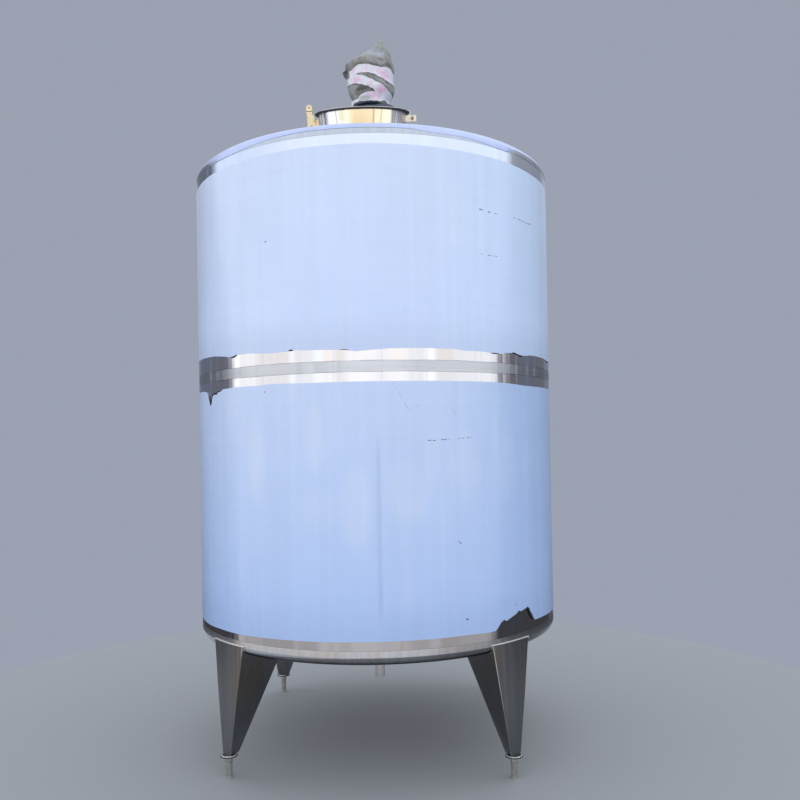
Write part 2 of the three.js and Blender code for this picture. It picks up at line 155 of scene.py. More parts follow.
# Film curled back along its tears: (angle, height, radius) points
CURLS = [
    [
        (-56.4, 1.738, 0.0012), (-55.6, 1.731, 0.003), (-54.9, 1.716, 0.0045), (-54.4, 1.702, 0.004),
        (-53.8, 1.685, 0.005), (-53.3, 1.690, 0.0035), (-52.8, 1.712, 0.003), (-52.1, 1.727, 0.004),
        (-50.7, 1.732, 0.003), (-49.5, 1.731, 0.005), (-48.6, 1.738, 0.0035), (-46.6, 1.740, 0.0015),
    ],
    [(-41.6, 1.885, 0.001), (-40.4, 1.884, 0.003), (-39.2, 1.887, 0.0035), (-38.2, 1.892, 0.0012)],
    [(-19.6, 1.888, 0.0008), (-18.8, 1.890, 0.0035), (-17.9, 1.889, 0.0008)],
    [(-4.9, 1.883, 0.0006), (-3.6, 1.883, 0.0016), (-2.2, 1.880, 0.0006)],
    [(39.0, 1.876, 0.001), (40.2, 1.875, 0.0025), (42.0, 1.876, 0.001)],
    [
        (47.6, 1.886, 0.001), (48.8, 1.884, 0.003), (50.2, 1.879, 0.0025), (51.8, 1.875, 0.0035),
        (53.4, 1.876, 0.001),
    ],
    [(71.5, 1.880, 0.001), (74.0, 1.876, 0.0025), (76.0, 1.876, 0.0025), (78.0, 1.880, 0.001)],
    [
        (40.0, 0.680, 0.001), (40.7, 0.691, 0.004), (41.8, 0.699, 0.0055), (43.0, 0.695, 0.002),
        (45.0, 0.706, 0.0015), (47.4, 0.717, 0.002), (48.3, 0.725, 0.005), (49.3, 0.721, 0.003),
        (51.4, 0.727, 0.0035), (52.8, 0.732, 0.005), (53.4, 0.722, 0.007), (54.0, 0.706, 0.007),
        (54.8, 0.692, 0.008), (55.8, 0.676, 0.005), (57.0, 0.667, 0.0015),
    ],
]

# Legs, as in the frame
LEG_TOP = 0.602
LEG_FOOT = low("leg_front_left").z
LEG_WIDTH = (0.064, 0.252)
LEG_FACE = (0.914, 0.903)
LEG_RIDGE_FOOT = 0.850
LEG_RIDGE_SLANT = 0.58
CORNERS = {"front_left": -45, "front_right": 45, "back_left": -135, "back_right": 135}
STAND_RADIUS = 0.902
PLATE_RADIUS = 0.039
NUT_RADIUS = 0.017
SCREW_RADIUS = 0.0145
FOOT_BEAD_RING = 0.0335
# Painted shade on a foot: in the joint under its nut, and from its plate's underside up
NUT_SHADE = (0.0695, 0.0725)
PLATE_UNDERSIDE = (0.0935, 0.0955)

# Manhole, square to the roof
MANHOLE_SEAT = 0.478
NECK_RADIUS = 0.2025
NECK_BORE = 0.1985
NECK_TOP = 0.086
NECK_SKIRT = 0.030
GASKET_RADIUS = 0.220
GASKET_TOP = 0.090
LID_RADIUS = 0.217
LID_THICKNESS = 0.003
LID_DOME_RADIUS = 0.180
LID_DOME_RISE = 0.015
SEAT_GAP = 0.0003
NECK_MIDDLE = 2.98
# Painted dark reflections down the neck: first and last angle, softness and strength
NECK_DARK_REFLECTIONS = [
    (18, 19.5, 0.5, 1), (27.5, 29, 0.6, 0.7), (45, 46.5, 0.5, 1), (49, 50.5, 0.5, 1), (-84, -66, 2, 1.1),
    (-60.5, -58.5, 0.6, 0.35), (53, 100, 3, 0.65),
]
# Dark line round the clamp's eye
CLAMP_JOINT = (3.0445, 3.0475)

# Agitator
PAD_RADIUS = high("agitator_pad").x
PAD_TOP = high("agitator_pad").z
STOOL_TOP = high("agitator_stool").z
GEARBOX_TOP = high("gearbox").z
GEARBOX_RADIUS = 0.072
GEARBOX_REACH = high("gearbox").x - GEARBOX_RADIUS
GEARBOX_FLANGE = -low("gearbox").x
HOUSING_TOP = 3.2615
STOOL_PLATE = 0.014
STOOL_COLUMN = 0.075
STOOL_HEAD = 0.108
# Where a lighter highlight is painted on the housing: heights and places on X at its ends
PAINTED_HIGHLIGHT = ((3.250, 3.242), (0.05, 0.0))

# Cloth bag: height, radius and how far its middle leans to +X, as in the frame
BAG_OUTLINE = [
    (3.265, 0.096, 0.0), (3.290, 0.098, 0.001), (3.308, 0.104, 0.005), (3.325, 0.113, 0.007),
    (3.348, 0.1215, 0.0065), (3.400, 0.122, 0.0045), (3.440, 0.122, 0.0055), (3.460, 0.124, 0.0055),
    (3.475, 0.1245, 0.004), (3.490, 0.1215, 0.0035), (3.505, 0.106, 0.014), (3.520, 0.0915, 0.024),
    (3.535, 0.081, 0.0315), (3.550, 0.0695, 0.039), (3.565, 0.0555, 0.046), (3.580, 0.0415, 0.052),
    (3.595, 0.029, 0.055), (3.610, 0.0185, 0.0555), (3.625, 0.0085, 0.055), (3.637, 0.0, 0.055),
]
BAG_CLOTH = 0.002
BAG_TIP = 0.0005
BAG_GIRTH = 2 * math.pi * 0.127
BAG_AXIS = 0.0055
THREADS = 2100.0
# Heights on the bag: where its hem is gathered, where it hangs slack, where it is pleated towards
# its tip, and where the pleats' shade ends. The pleats wind round it from a height, by radians in
# a metre.
HEM = (3.33, 3.28)
SLACK = ((3.32, 3.36), (3.53, 3.60))
PLEATED = (3.51, 3.60)
TIP_PLAIN = (3.625, 3.60)
PLEAT_START = 3.45
PLEAT_TWIST = 8
# The flap on the bag's left and the shade round it, as angles and heights that they fade in and
# out at, then the knot below: angle, height, and how far it goes to the side and up
FLAP = ((-108, -98), (-66, -76), (3.442, 3.456), (3.512, 3.494))
FLAP_SHADE = ((-112, -100), (-60, -66), (3.416, 3.424), (3.498, 3.486))
KNOT = (-87, 3.4425, 11, 0.016)
# The tape: its thickness, its lift off the cloth, and its way round the bag as angle, height and
# half width
TAPE_THICKNESS = 0.0005
TAPE_LIFT = 0.0012
TAPE_PATH = [
    (-66, 3.423, 0.018), (-50, 3.4205, 0.0205), (-38, 3.424, 0.0235), (-30, 3.4285, 0.0225),
    (-5, 3.424, 0.0205), (12, 3.417, 0.0215), (29, 3.408, 0.0245), (43, 3.406, 0.034),
    (60, 3.405, 0.036), (90, 3.404, 0.028), (180, 3.402, 0.022), (270, 3.394, 0.020),
    (310, 3.385, 0.019), (323, 3.380, 0.0215), (337, 3.371, 0.024), (352, 3.359, 0.0235),
    (364, 3.347, 0.0225), (379, 3.331, 0.0245), (391, 3.319, 0.0245), (404, 3.308, 0.024),
    (415, 3.300, 0.023), (450, 3.293, 0.022), (540, 3.288, 0.019), (640, 3.280, 0.015),
    (680, 3.277, 0.008), (690, 3.284, 0.012), (700, 3.2845, 0.0185), (710, 3.286, 0.0195),
    (720, 3.288, 0.0215), (731, 3.2875, 0.0215), (742, 3.286, 0.020), (756, 3.285, 0.017),
    (768, 3.288, 0.012), (782, 3.292, 0.004),
]
# Blots as (angle, height, half width in degrees, half height, strength): pink smears on the tape, dark
# patches on the cloth that are mostly painted crease shade and partly dirt, a paler, bluer patch on the
# cloth, then greyer patches on the tape that are partly painted shade and partly dirt
SMEARS = [
    (42, 3.403, 17, 0.029, 1.0), (28, 3.415, 11, 0.017, 0.8), (-46, 3.434, 14, 0.018, 0.7),
    (-6, 3.424, 6, 0.014, 0.8), (-36, 3.376, 17, 0.018, 1.0), (1, 3.345, 8, 0.014, 0.8),
    (33, 3.322, 17, 0.026, 1.0), (8, 3.287, 24, 0.018, 0.9), (-20, 3.412, 12, 0.012, 0.45),
    (60, 3.385, 12, 0.020, 0.5),
]
SHADES_AND_MARKS = [
    (-20, 3.326, 24, 0.011, 0.8), (-1, 3.334, 4, 0.010, 1.0), (12, 3.319, 12, 0.0045, 0.9),
    (30, 3.474, 11, 0.011, 0.5), (52, 3.457, 14, 0.011, 0.6), (-76, 3.450, 6, 0.026, 1.0),
    (47, 3.362, 7, 0.007, 0.8), (-35, 3.407, 16, 0.004, 0.9), (75, 3.478, 10, 0.014, 0.4),
]
PALE_TOP = [(18, 3.521, 34, 0.040, 1.0)]
SHADE_AND_DIRT = [(-16, 3.281, 24, 0.015, 0.85), (-52, 3.289, 12, 0.012, 0.5)]
# Blots where the film has come loose and looks paler
LOOSE_LOWER = [
    (-31, 1.425, 3.5, 0.21, 0.9), (-12, 1.515, 3, 0.17, 0.8), (-1, 1.215, 5, 0.19, 1.0),
    (12.5, 1.275, 6.5, 0.16, 0.9), (19.5, 1.40, 2.5, 0.15, 0.7), (29, 1.385, 6, 0.17, 0.7),
    (-12, 1.21, 9, 0.10, 0.5),
]
LOOSE_UPPER = [(-30, 2.05, 9, 0.30, 0.4), (-4, 2.05, 1.2, 0.40, 0.7), (28, 2.45, 5, 0.16, 0.4)]

# Painted reflections on the polished strips, as warmer and darker stripes: first and last angle, warmth and
# dullness
PAINTED_REFLECTION_STRIPES = [
    (-37, -30, 0.3, 0.12), (-30, -19, 0.5, 0.21), (-18, -12, 0.2, 0.16), (-9.5, -6.5, 0.8, 0.05),
    (-6.5, -3, 0.7, 0.14), (-3, 4.5, 0.4, 0.04), (4.5, 8, 0.2, 0.10), (8, 13, 0.6, 0.05),
    (13, 18, 0.3, 0.13), (21, 26.5, 0.7, 0.20), (26.5, 33, 0.3, 0.16), (33, 41, 0.2, 0.14),
]

# Camera, at the photograph's viewing angle
CAMERA_PLACE = (0.336, -4.256, 1.4815)
CAMERA_YAW = math.radians(-1.69)
CAMERA_PITCH = math.radians(0.69)
CAMERA_ROLL = math.radians(-1.005)
CAMERA_LENS = 36.45
CAMERA_SHIFT = 0.04375

# Strength of the light from the front, how much brighter it is from the left, and from the upper
# right
SKY_STRENGTH = 1.33
SKY_TILT = 0.02
SKY_UPPER_RIGHT = 0.25
# Angles from the front where the light changes: dim sides, backdrop and its darker corners
SIDE_LIGHT = (91.0, 100.0)
BACK_LIGHT = (147.0, 153.0)
CORNER_LIGHT = (170.0, 160.0)
FLOOR_RADIUS = 2.8


def count_property(name, description, default, least):
    return IntProperty(name=name, description=description, default=default, min=least)


def length_property(name, description, default):
    return FloatProperty(name=name, description=description, default=default, min=0.0002, unit="LENGTH")


def colour_property(name, description, default):
    return FloatVectorProperty(
        name=name, description=description, default=default, size=3, subtype="COLOR", min=0, max=1
    )


class TankSizes(PropertyGroup):
    """Sizes of the visible surfaces that the frame leaves open."""

    shell_sides: count_property("Shell sides", "Flats round the shell and heads", 288, 48)
    film_columns: count_property("Film columns", "Columns round each film skin", 1440, 180)
    fold_radius: length_property("Leg fold", "Radius of the folds of the legs", 0.005)
    edge_radius: length_property("Edge", "Radius of the small parts' edges", 0.0008)
    bead_radius: length_property("Weld bead", "Radius of the weld beads", 0.0028)
    bead_spacing: length_property("Weld ripple", "Distance between the ripples of a weld", 0.004)
    bolt_count: count_property("Bolts", "Bolts round each flange of the agitator", 8, 3)
    pleats: count_property("Pleats", "Folds round the bag's neck", 9, 3)
    pleat_depth: FloatProperty(
        name="Pleat depth",
        description="Share of the bag's radius that a fold takes near the tip",
        default=0.08,
        min=0,
        subtype="FACTOR",
    )


class TankColours(PropertyGroup):
    """Colours of the tank's finishes and of the stage, in linear light."""

    film_top: colour_property("Upper film, top", "Film at the upper course's top", (0.645, 0.74, 0.96))
    film_middle: colour_property("Upper film, bottom", "Film at the girth seam", (0.605, 0.72, 0.985))
    film_lower: colour_property("Lower film, top", "Blue film under the girth seam", (0.555, 0.665, 0.905))
    film_bottom: colour_property("Lower film, bottom", "Film at the lower course's foot", (0.42, 0.565, 0.89))
    # The films' right-side tones are painted skylight from the right
    upper_film_painted_sky: colour_property("Upper film, right", "Upper film on the right side", (0.6, 0.745, 1.0))
    lower_film_painted_sky: colour_property("Lower film, right", "Lower film on the right side", (0.40, 0.54, 0.84))
    film_loose: colour_property("Loose film", "Paler film where it has come loose", (0.80, 0.82, 0.90))
    roof_edge: colour_property("Roof film, edge", "Film on the roof's rounded edge", (0.475, 0.525, 0.76))
    roof_film: colour_property("Roof film", "Lavender film on the roof", (0.4, 0.445, 0.62))
    # The curled film's colours are painted shade under its rolls
    film_shade: colour_property("Film back, dark", "Dark underside of the curled film", (0.006, 0.007, 0.010))
    film_sheen: colour_property("Film back, light", "Lighter patches of the curled film", (0.05, 0.06, 0.085))
    scratch_dark: colour_property("Scratch, dark", "Dark steel in the scratches", (0.035, 0.045, 0.07))
    scratch_light: colour_property("Scratch, light", "Torn film in the scratches", (0.20, 0.24, 0.34))
    steel_cool: colour_property("Steel, cool", "Cool tone of the polished steel", (0.8, 0.815, 0.86))
    # The warm tone is also the colour of the painted warm reflections on the polished strips
    steel_warm: colour_property("Steel, warm", "Warm tone of the polished steel", (0.84, 0.76, 0.71))
    steel_dark: colour_property("Steel, dark", "Dark streaks of the polished steel", (0.42, 0.41, 0.42))
    # The bluish top tones are a painted sky reflection
    steel_sky_reflection: colour_property("Steel, top", "Bluish tone of the strip under the roof", (0.66, 0.695, 0.8))
    steel_sky_reflection_left: colour_property("Steel, top left", "Bluer left of that strip", (0.52, 0.58, 0.76))
    leg_steel: colour_property("Leg steel", "Satin sheet of the legs", (0.18, 0.184, 0.195))
    leg_tint: colour_property("Leg tint", "Brownish tint on the legs", (0.20, 0.17, 0.13))
    foot_steel: colour_property("Foot steel", "Screw feet and plates", (0.54, 0.52, 0.47))
    weld: colour_property("Weld", "Weld beads", (0.74, 0.74, 0.74))
    # The neck's colours are painted reflections on its mirror steel; the gold one also tints the weld beads
    neck_cream_reflection: colour_property("Neck cream", "Cream steel at the neck's front", (0.93, 0.86, 0.68))
    gold_reflection_and_tint: colour_property("Neck gold", "Gold streaks on the neck", (0.92, 0.72, 0.4))
    neck_green_reflection: colour_property("Neck green", "Yellow-green streak on the neck", (0.66, 0.68, 0.34))
    neck_dark_reflection: colour_property("Neck dark", "Dark lines on the neck", (0.25, 0.19, 0.15))
    # The lugs' warm and pale tones are a painted warm reflection
    lug: colour_property("Lug", "Warm polished lugs", (0.90, 0.76, 0.48))
    lug_pale_reflection: colour_property("Lug, pale", "Paler lugs on the right", (0.93, 0.88, 0.74))
    lug_stain: colour_property("Lug stain", "Brown stains on the lugs", (0.42, 0.30, 0.14))
    pin_dark: colour_property("Pin, dark", "Dark stains on the pins", (0.22, 0.20, 0.17))
    pin_light: colour_property("Pin, light", "Steel of the pins", (0.42, 0.38, 0.32))
    paint: colour_property("Paint", "Machine paint of the gearbox", (0.03, 0.042, 0.072))
    paint_dust: colour_property("Paint, dusty", "Dust on the machine paint", (0.05, 0.07, 0.10))
    # A lighter blue highlight painted on the housing's lower part
    paint_highlight: colour_property("Paint, worn", "Worn upper edge of the housing", (0.22, 0.27, 0.38))
    rubber: colour_property("Rubber", "Gasket", (0.012, 0.012, 0.015))
    cloth_light: colour_property("Cloth, light", "Grey-green cloth of the bag", (0.375, 0.38, 0.375))
    cloth_dark: colour_property("Cloth, dark", "Olive patches of the bag", (0.26, 0.262, 0.235))
    # A paler, bluer patch at the front of the bag's top
    cloth_pale_top: colour_property("Cloth, faded", "Faded cloth near the bag's top", (0.43, 0.44, 0.5))
    # Dark patches on the cloth: mostly painted crease shade, partly dirt
    cloth_shade_and_mark: colour_property("Cloth marks", "Dark marks on the bag", (0.045, 0.038, 0.032))
    cloth_crease: colour_property("Cloth creases", "Shade in the bag's creases", (0.030, 0.027, 0.024))
    tape: colour_property("Tape", "White tape round the bag", (0.725, 0.715, 0.79))
    tape_smear: colour_property("Tape smear", "Pink smears on the tape", (0.78, 0.36, 0.57))
    # Greyer tape low down: partly painted shade, partly dirt
    tape_shade_and_dirt: colour_property("Tape dirt", "Dirt on the tape's lowest pass", (0.36, 0.40, 0.37))
    floor: colour_property("Floor", "Plain floor", (0.31, 0.31, 0.325))
    sky: colour_property("Light in front", "Soft light that comes from the front", (0.86, 0.93, 1.0))
    sky_low: colour_property("Light low down", "Soft light from the front, low down", (0.95, 0.94, 0.95))
    sky_right: colour_property("Light on the right", "Bluer light from the front right", (0.77, 0.86, 1.0))
    sky_under: colour_property("Light under", "Dimmer light from below the horizon", (0.405, 0.39, 0.392))
    dim: colour_property("Light beside", "Dim light from both sides", (0.085, 0.09, 0.118))
    dim_level: colour_property("Light beside, level", "Side light at the horizon", (0.135, 0.153, 0.205))
    dim_low: colour_property("Light beside, low", "Side light below the horizon", (0.055, 0.058, 0.068))
    backdrop: colour_property("Light behind", "Plain backdrop behind the tank", (0.33, 0.36, 0.44))
    corner: colour_property("Light behind, sides", "Backdrop's two sides, low down", (0.17, 0.19, 0.24))
    corner_low: colour_property("Light behind, lowest", "Backdrop's sides, lowest", (0.08, 0.09, 0.12))


# Shader and geometry node trees

DEGREES = 180 / math.pi


def pick(sockets, key):
    """A socket by its index, its identifier or its name."""
    if isinstance(key, int):
        return sockets[key]
    by_identifier = [socket for socket in sockets if socket.identifier == key]
    by_name = [socket for socket in sockets if socket.name == key and socket.enabled]
    return (by_identifier + by_name)[0]


class Wire:
    """An output socket of a node tree. Arithmetic on it adds Math nodes to the tree."""

    def __init__(self, graph, socket):
        self.graph = graph
        self.socket = socket

    def out(self, key):
        return Wire(self.graph, pick(self.socket.node.outputs, key))

    def __add__(self, other):
        return self.graph.math("ADD", self, other)

    __radd__ = __add__

    def __sub__(self, other):
        return self.graph.math("SUBTRACT", self, other)

    def __rsub__(self, other):
        return self.graph.math("SUBTRACT", other, self)

    def __mul__(self, other):
        return self.graph.math("MULTIPLY", self, other)

    __rmul__ = __mul__

    def __truediv__(self, other):
        return self.graph.math("DIVIDE", self, other)

    def __pow__(self, other):
        return self.graph.math("POWER", self, other)

    def __abs__(self):
        return self.graph.math("ABSOLUTE", self)


class Graph:
    """A node tree with one method that adds a node, sets it up and joins its sockets."""

    def __init__(self, tree):
        self.tree = tree

    def node(self, kind, settings=None, sockets=None, output=0):
        made = self.tree.nodes.new(kind)
        for name, value in (settings or {}).items():
            setattr(made, name, value)
        for key, value in (sockets or {}).items():
            self.join(value, pick(made.inputs, key))
        return Wire(self, pick(made.outputs, output)) if made.outputs else made

    def join(self, value, socket):
        if isinstance(value, Wire):
            self.tree.links.new(value.socket, socket)
        elif socket.type == "RGBA" and len(value) == 3:
            socket.default_value = (*value, 1)
        else:
            socket.default_value = value

    def math(self, operation, first, second=0.0):
        return self.node("ShaderNodeMath", {"operation": operation}, {0: first, 1: second})

    def clamp(self, value):
        """The value, kept from 0 to 1."""
        return self.node("ShaderNodeClamp", None, {"Value": value})

    def most(self, first, second):
        return self.math("MAXIMUM", first, second)

    def degrees(self, x, y):
        """Angle from the front, positive towards +X."""
        return self.math("ARCTAN2", x, 0.0 - y) * DEGREES

    def between(self, value, start, end):
        """0 up to start, 1 past end and smooth between them."""
        limits = {"Value": value, "From Min": start, "From Max": end}
        return self.node("ShaderNodeMapRange", {"interpolation_type": "SMOOTHSTEP"}, limits)

    def stripe(self, value, start, end, soft):
        """1 from start to end and 0 past them."""
        rise = self.between(value, start - soft, start + soft)
        return rise * (1 - self.between(value, end - soft, end + soft))

    def noise(self, vector, detail=3.0, roughness=0.55):
        wanted = {"Vector": self.vector(*vector), "Scale": 1.0, "Detail": detail, "Roughness": roughness}
        return self.node("ShaderNodeTexNoise", None, wanted)

    def vector(self, x, y, z):
        return self.node("ShaderNodeCombineXYZ", None, {"X": x, "Y": y, "Z": z})

    def mix(self, first, second, share):
        wanted = {"Factor_Float": share, "A_Color": first, "B_Color": second}
        return self.node("ShaderNodeMix", {"data_type": "RGBA"}, wanted, "Result_Color")


class Finish(Graph):
    """One material: its shader and the helpers that its pattern is written with."""

    def __init__(self, name):
        self.material = bpy.data.materials.new(name)
        self.material.use_nodes = True
        super().__init__(self.material.node_tree)
        self.tree.nodes.clear()

    def place(self):
        """X, Y and Z of a point of the piece."""
        point = self.node("ShaderNodeTexCoord", output="Object")
        parts = self.node("ShaderNodeSeparateXYZ", None, {"Vector": point})
        return parts, parts.out("Y"), parts.out("Z")

    def scaled(self, colour, share):
        return self.node("ShaderNodeVectorMath", {"operation": "SCALE"}, {0: colour, "Scale": share})

    def blots(self, turn, height, spots):
        """Soft blots at (angle, height, half width, half height, strength) spots."""
        share = 0.0
        for degrees, level, across, up, strength in spots:
            aside, above = (turn - degrees) / across, (height - level) / up
            blot = 1 - self.between(aside * aside + above * above, 0.1, 1.3)
            share = self.most(blot * strength, share)
        return share

    def bump(self, height, distance):
        return self.node("ShaderNodeBump", None, {"Height": height, "Distance": distance, "Strength": 1.0})

    def shade(self, **sockets):
        """Ends the tree in its shader; an underline in a socket's name stands for a space."""
        wanted = {name.replace("_", " "): value for name, value in sockets.items()}
        shader = self.node("ShaderNodeBsdfPrincipled", None, wanted)
        self.node("ShaderNodeOutputMaterial", None, {"Surface": shader})
        return self.material


def tank_colours():
    return bpy.context.scene.tank_colours


def tank_sizes():
    return bpy.context.scene.tank_sizes


FINISHES = {}


def finish(name):
    """A material by its name, made once."""
    if name not in FINISHES:
        FINISHES[name] = FINISH_MAKERS[name]()
    return FINISHES[name]


def polished_steel():
    """Mirror sheet with upright warm and cool streaks, and painted reflections: warm and darker stripes by
    angle, a bluish top as a sky reflection, and darker sides on the ground band and low down. The ground band
    runs along the girth weld.
    """
    colours = tank_colours()
    steel = Finish("polished_steel")
    x, y, z = steel.place()
    broad = steel.noise((x * 7, y * 7, z * 0.4), detail=2)
    fine = steel.noise((x * 42, y * 42, z * 0.7), detail=4)
    dull = steel.noise((x * 17 + 3, y * 17, z * 0.3), detail=3)
    turn = steel.degrees(x, y)
    # Painted reflections: warm streaks towards the sides and the stripes, whose dullness paints darker
    # reflections
    warm_reflection = steel.between(broad, 0.38, 0.62) * steel.between(abs(turn), 38, 48)
    dark_reflection = 0.0
    for start, end, warmth, dull_share in PAINTED_REFLECTION_STRIPES:
        share = steel.stripe(turn, start, end, 1.2)
        warm_reflection = steel.most(warm_reflection, share * warmth * (0.35 + steel.between(z, 1.78, 1.84) * 0.65))
        dark_reflection = share * dull_share + dark_reflection
    tone = steel.scaled(steel.mix(colours.steel_cool, colours.steel_warm, warm_reflection), 1 - dark_reflection)
    tone = steel.mix(tone, colours.steel_dark, steel.between(fine, 0.54, 0.76) * 0.26)
    # Painted sky reflection: the upper course turns bluish towards the roof, bluer on the left
    left = steel.between(turn, -12, -38) * steel.between(turn, -80, -60)
    top = steel.mix(colours.steel_sky_reflection, colours.steel_sky_reflection_left, left)
    tone = steel.mix(tone, top, steel.between(z, GIRTH_SEAM + 0.3, SHELL_TOP - 0.2) * 0.85)
    off_seam = abs(z - GIRTH_SEAM)
    wander = steel.noise((x * 12, y * 12, 0.0), detail=2) * 0.004 - 0.002
    band_edge = off_seam + wander
    ground = 1 - steel.between(band_edge, GROUND_ZONE - 0.0015, GROUND_ZONE + 0.0005)
    grain = steel.noise((x * 3, y * 3, z * 420), detail=3)
    # Painted darker reflection: the ground band is darker away from the front
    level = (0.87 - grain * 0.30) * (1 - steel.between(abs(turn), 8, 20) * 0.10)
    tone = steel.mix(tone, steel.scaled(colours.steel_cool, level), ground)
    rim = 1 - steel.between(abs(band_edge - GROUND_ZONE), 0.0006, 0.0026)
    tone = steel.scaled(tone, 1 - rim * steel.between(broad, 0.3, 0.6) * 0.45)
    # Painted darker reflection: low down, the strip is darker away from the front
    low_down = steel.between(z, SHELL_BOTTOM + 0.3, SHELL_BOTTOM + 0.1)
    tone = steel.scaled(tone, 1 - low_down * steel.between(abs(turn), 5, 16) * 0.15)
    rough = 0.07 + fine * 0.10 + steel.between(dull, 0.50, 0.68) * 0.16
    rough = rough * (1 - low_down * 0.5) + ground * 0.18
    normal = steel.bump(broad * 0.6 + fine * 0.12 + grain * ground * 0.05, 0.004)
    return steel.shade(Base_Color=tone, Metallic=1.0, Roughness=rough, Normal=normal)


def head_steel():
    """Plain polished sheet of the roof and the bottom, with painted shade round the bottom's rolled edge,
    painted darker reflections at its sides, and a roof painted bluer and darker as a sky reflection.
    """
    colours = tank_colours()
    steel = Finish("head_steel")
    x, y, z = steel.place()
    broad = steel.noise((x * 5, y * 5, z * 2), detail=3)
    fine = steel.noise((x * 60, y * 60, z * 3), detail=3)
    # Painted sky reflection: the roof is bluer and darker
    roof = steel.between(z, SHELL_TOP - 0.02, SHELL_TOP)
    tone = steel.mix(colours.steel_cool, colours.steel_warm, steel.between(broad, 0.42, 0.66) * 0.7)
    tone = steel.mix(tone, colours.steel_sky_reflection, roof * 0.85)
    out = (x * x + y * y) ** 0.5
    below = z - SHELL_BOTTOM + steel.clamp(0.0 - x) * 0.025
    # Painted shade round the bottom's knuckle, which faces the shaded floor under the tank
    rolled = steel.between(below, -0.0270, -0.0300) * steel.between(out, 0.83, 0.86)
    # Painted darker reflections at the sides, stronger towards +X
    aside = steel.between(abs(steel.degrees(x, y)), 11.46, 31.51) * (1 - roof)
    level = 0.80 + fine * 0.2 - roof * 0.20 - rolled * (0.50 + steel.between(out, 0.898, 0.886) * 0.30)
    level = level * (1 - aside * steel.between(x, -0.6, 0.3) * 0.4)
    tone = steel.scaled(tone, level)
    normal = steel.bump(broad + fine * 0.1, 0.002)
    return steel.shade(Base_Color=tone, Metallic=1.0, Roughness=0.16 + fine * 0.14, Normal=normal)


def leg_steel():
    """Satin sheet with upright streaks and brown tints high up, with painted shade towards +X and at the
    back.
    """
    colours = tank_colours()
    steel = Finish("leg_steel")
    x, y, z = steel.place()
    streak = steel.noise((x * 55, y * 55, z * 1.6), detail=5)
    patch = steel.noise((x * 6, y * 6, z * 2.2), detail=3)
    lift = steel.between(z, LEG_FOOT, LEG_TOP)
    tone = steel.mix(colours.leg_steel, colours.leg_tint, steel.between(patch, 0.45, 0.7) * lift)
    # Painted shade: the legs are darker towards +X and at the back
    level = (0.72 + streak * 0.6) * (1 - x * 0.22)
    tone = steel.scaled(tone, level * (1 - steel.between(y, 0.2, 0.6) * 0.25))
    normal = steel.bump(streak * 0.3 + patch, 0.0015)
    return steel.shade(Base_Color=tone, Metallic=1.0, Roughness=0.26 + streak * 0.2, Normal=normal)


def satin_steel():
    """Turned and cut stainless parts: fine grain and small tone changes."""
    colours = tank_colours()
    steel = Finish("satin_steel")
    x, y, z = steel.place()
    grain = steel.noise((x * 30, y * 30, z * 700), detail=3)
    patch = steel.noise((x * 16, y * 16, z * 16), detail=3)
    tone = steel.mix(colours.steel_cool, colours.steel_warm, patch)
    tone = steel.scaled(tone, 0.60 + grain * 0.2 + patch * 0.1)
    return steel.shade(
        Base_Color=tone, Metallic=1.0, Roughness=0.24 + grain * 0.16, Normal=steel.bump(grain, 0.0003)
    )


def foot_steel():
    """Bright cream steel of the screw feet, dusty low down, with painted shade under the nut and on the
    plate.
    """
    colours = tank_colours()
    steel = Finish("foot_steel")
    x, y, z = steel.place()
    patch = steel.noise((x * 60, y * 60, z * 30), detail=4)
    # Painted shade under the nut and from the plate up
    foot_shade = steel.between(z, *PLATE_UNDERSIDE) * 0.7 + steel.stripe(z, *NUT_SHADE, 0.001) * 0.6
    tone = steel.scaled(colours.foot_steel, (0.75 + patch * 0.5) * (1 - foot_shade))
    dust = 1 - steel.between(z + patch * 0.01, 0.006, 0.02)
    rough = 0.16 + patch * 0.18 + dust * 0.3
    return steel.shade(Base_Color=tone, Metallic=0.9, Roughness=rough, Normal=steel.bump(patch, 0.0004))


def weld_metal():
    """Bright weld beads with straw tints. The legs' fold beads have painted shade low down, and high up on
    the legs towards -X.
    """
    colours = tank_colours()
    metal = Finish("weld_metal")
    x, y, z = metal.place()
    ripple = metal.noise((x * 240, y * 240, z * 240), detail=2)
    tint = metal.noise((x * 14, y * 14, z * 14), detail=2)
    tone = metal.mix(colours.weld, colours.gold_reflection_and_tint, metal.between(tint, 0.56, 0.74) * 0.5)
    # Painted shade on the legs' fold beads: low down, and high up towards -X
    fold = metal.between(z, 0.105, 0.13)
    left = metal.between(z, 0.585, 0.55) * metal.between(x, 0, -0.1)
    dull = metal.most(metal.between(z, 0.50, 0.25), left)
    tone = metal.scaled(tone, (0.8 + ripple * 0.35) * (1 - dull * fold * 0.7))
    return metal.shade(
        Base_Color=tone, Metallic=0.85, Roughness=0.34 + ripple * 0.2, Normal=metal.bump(ripple, 0.0008)
    )


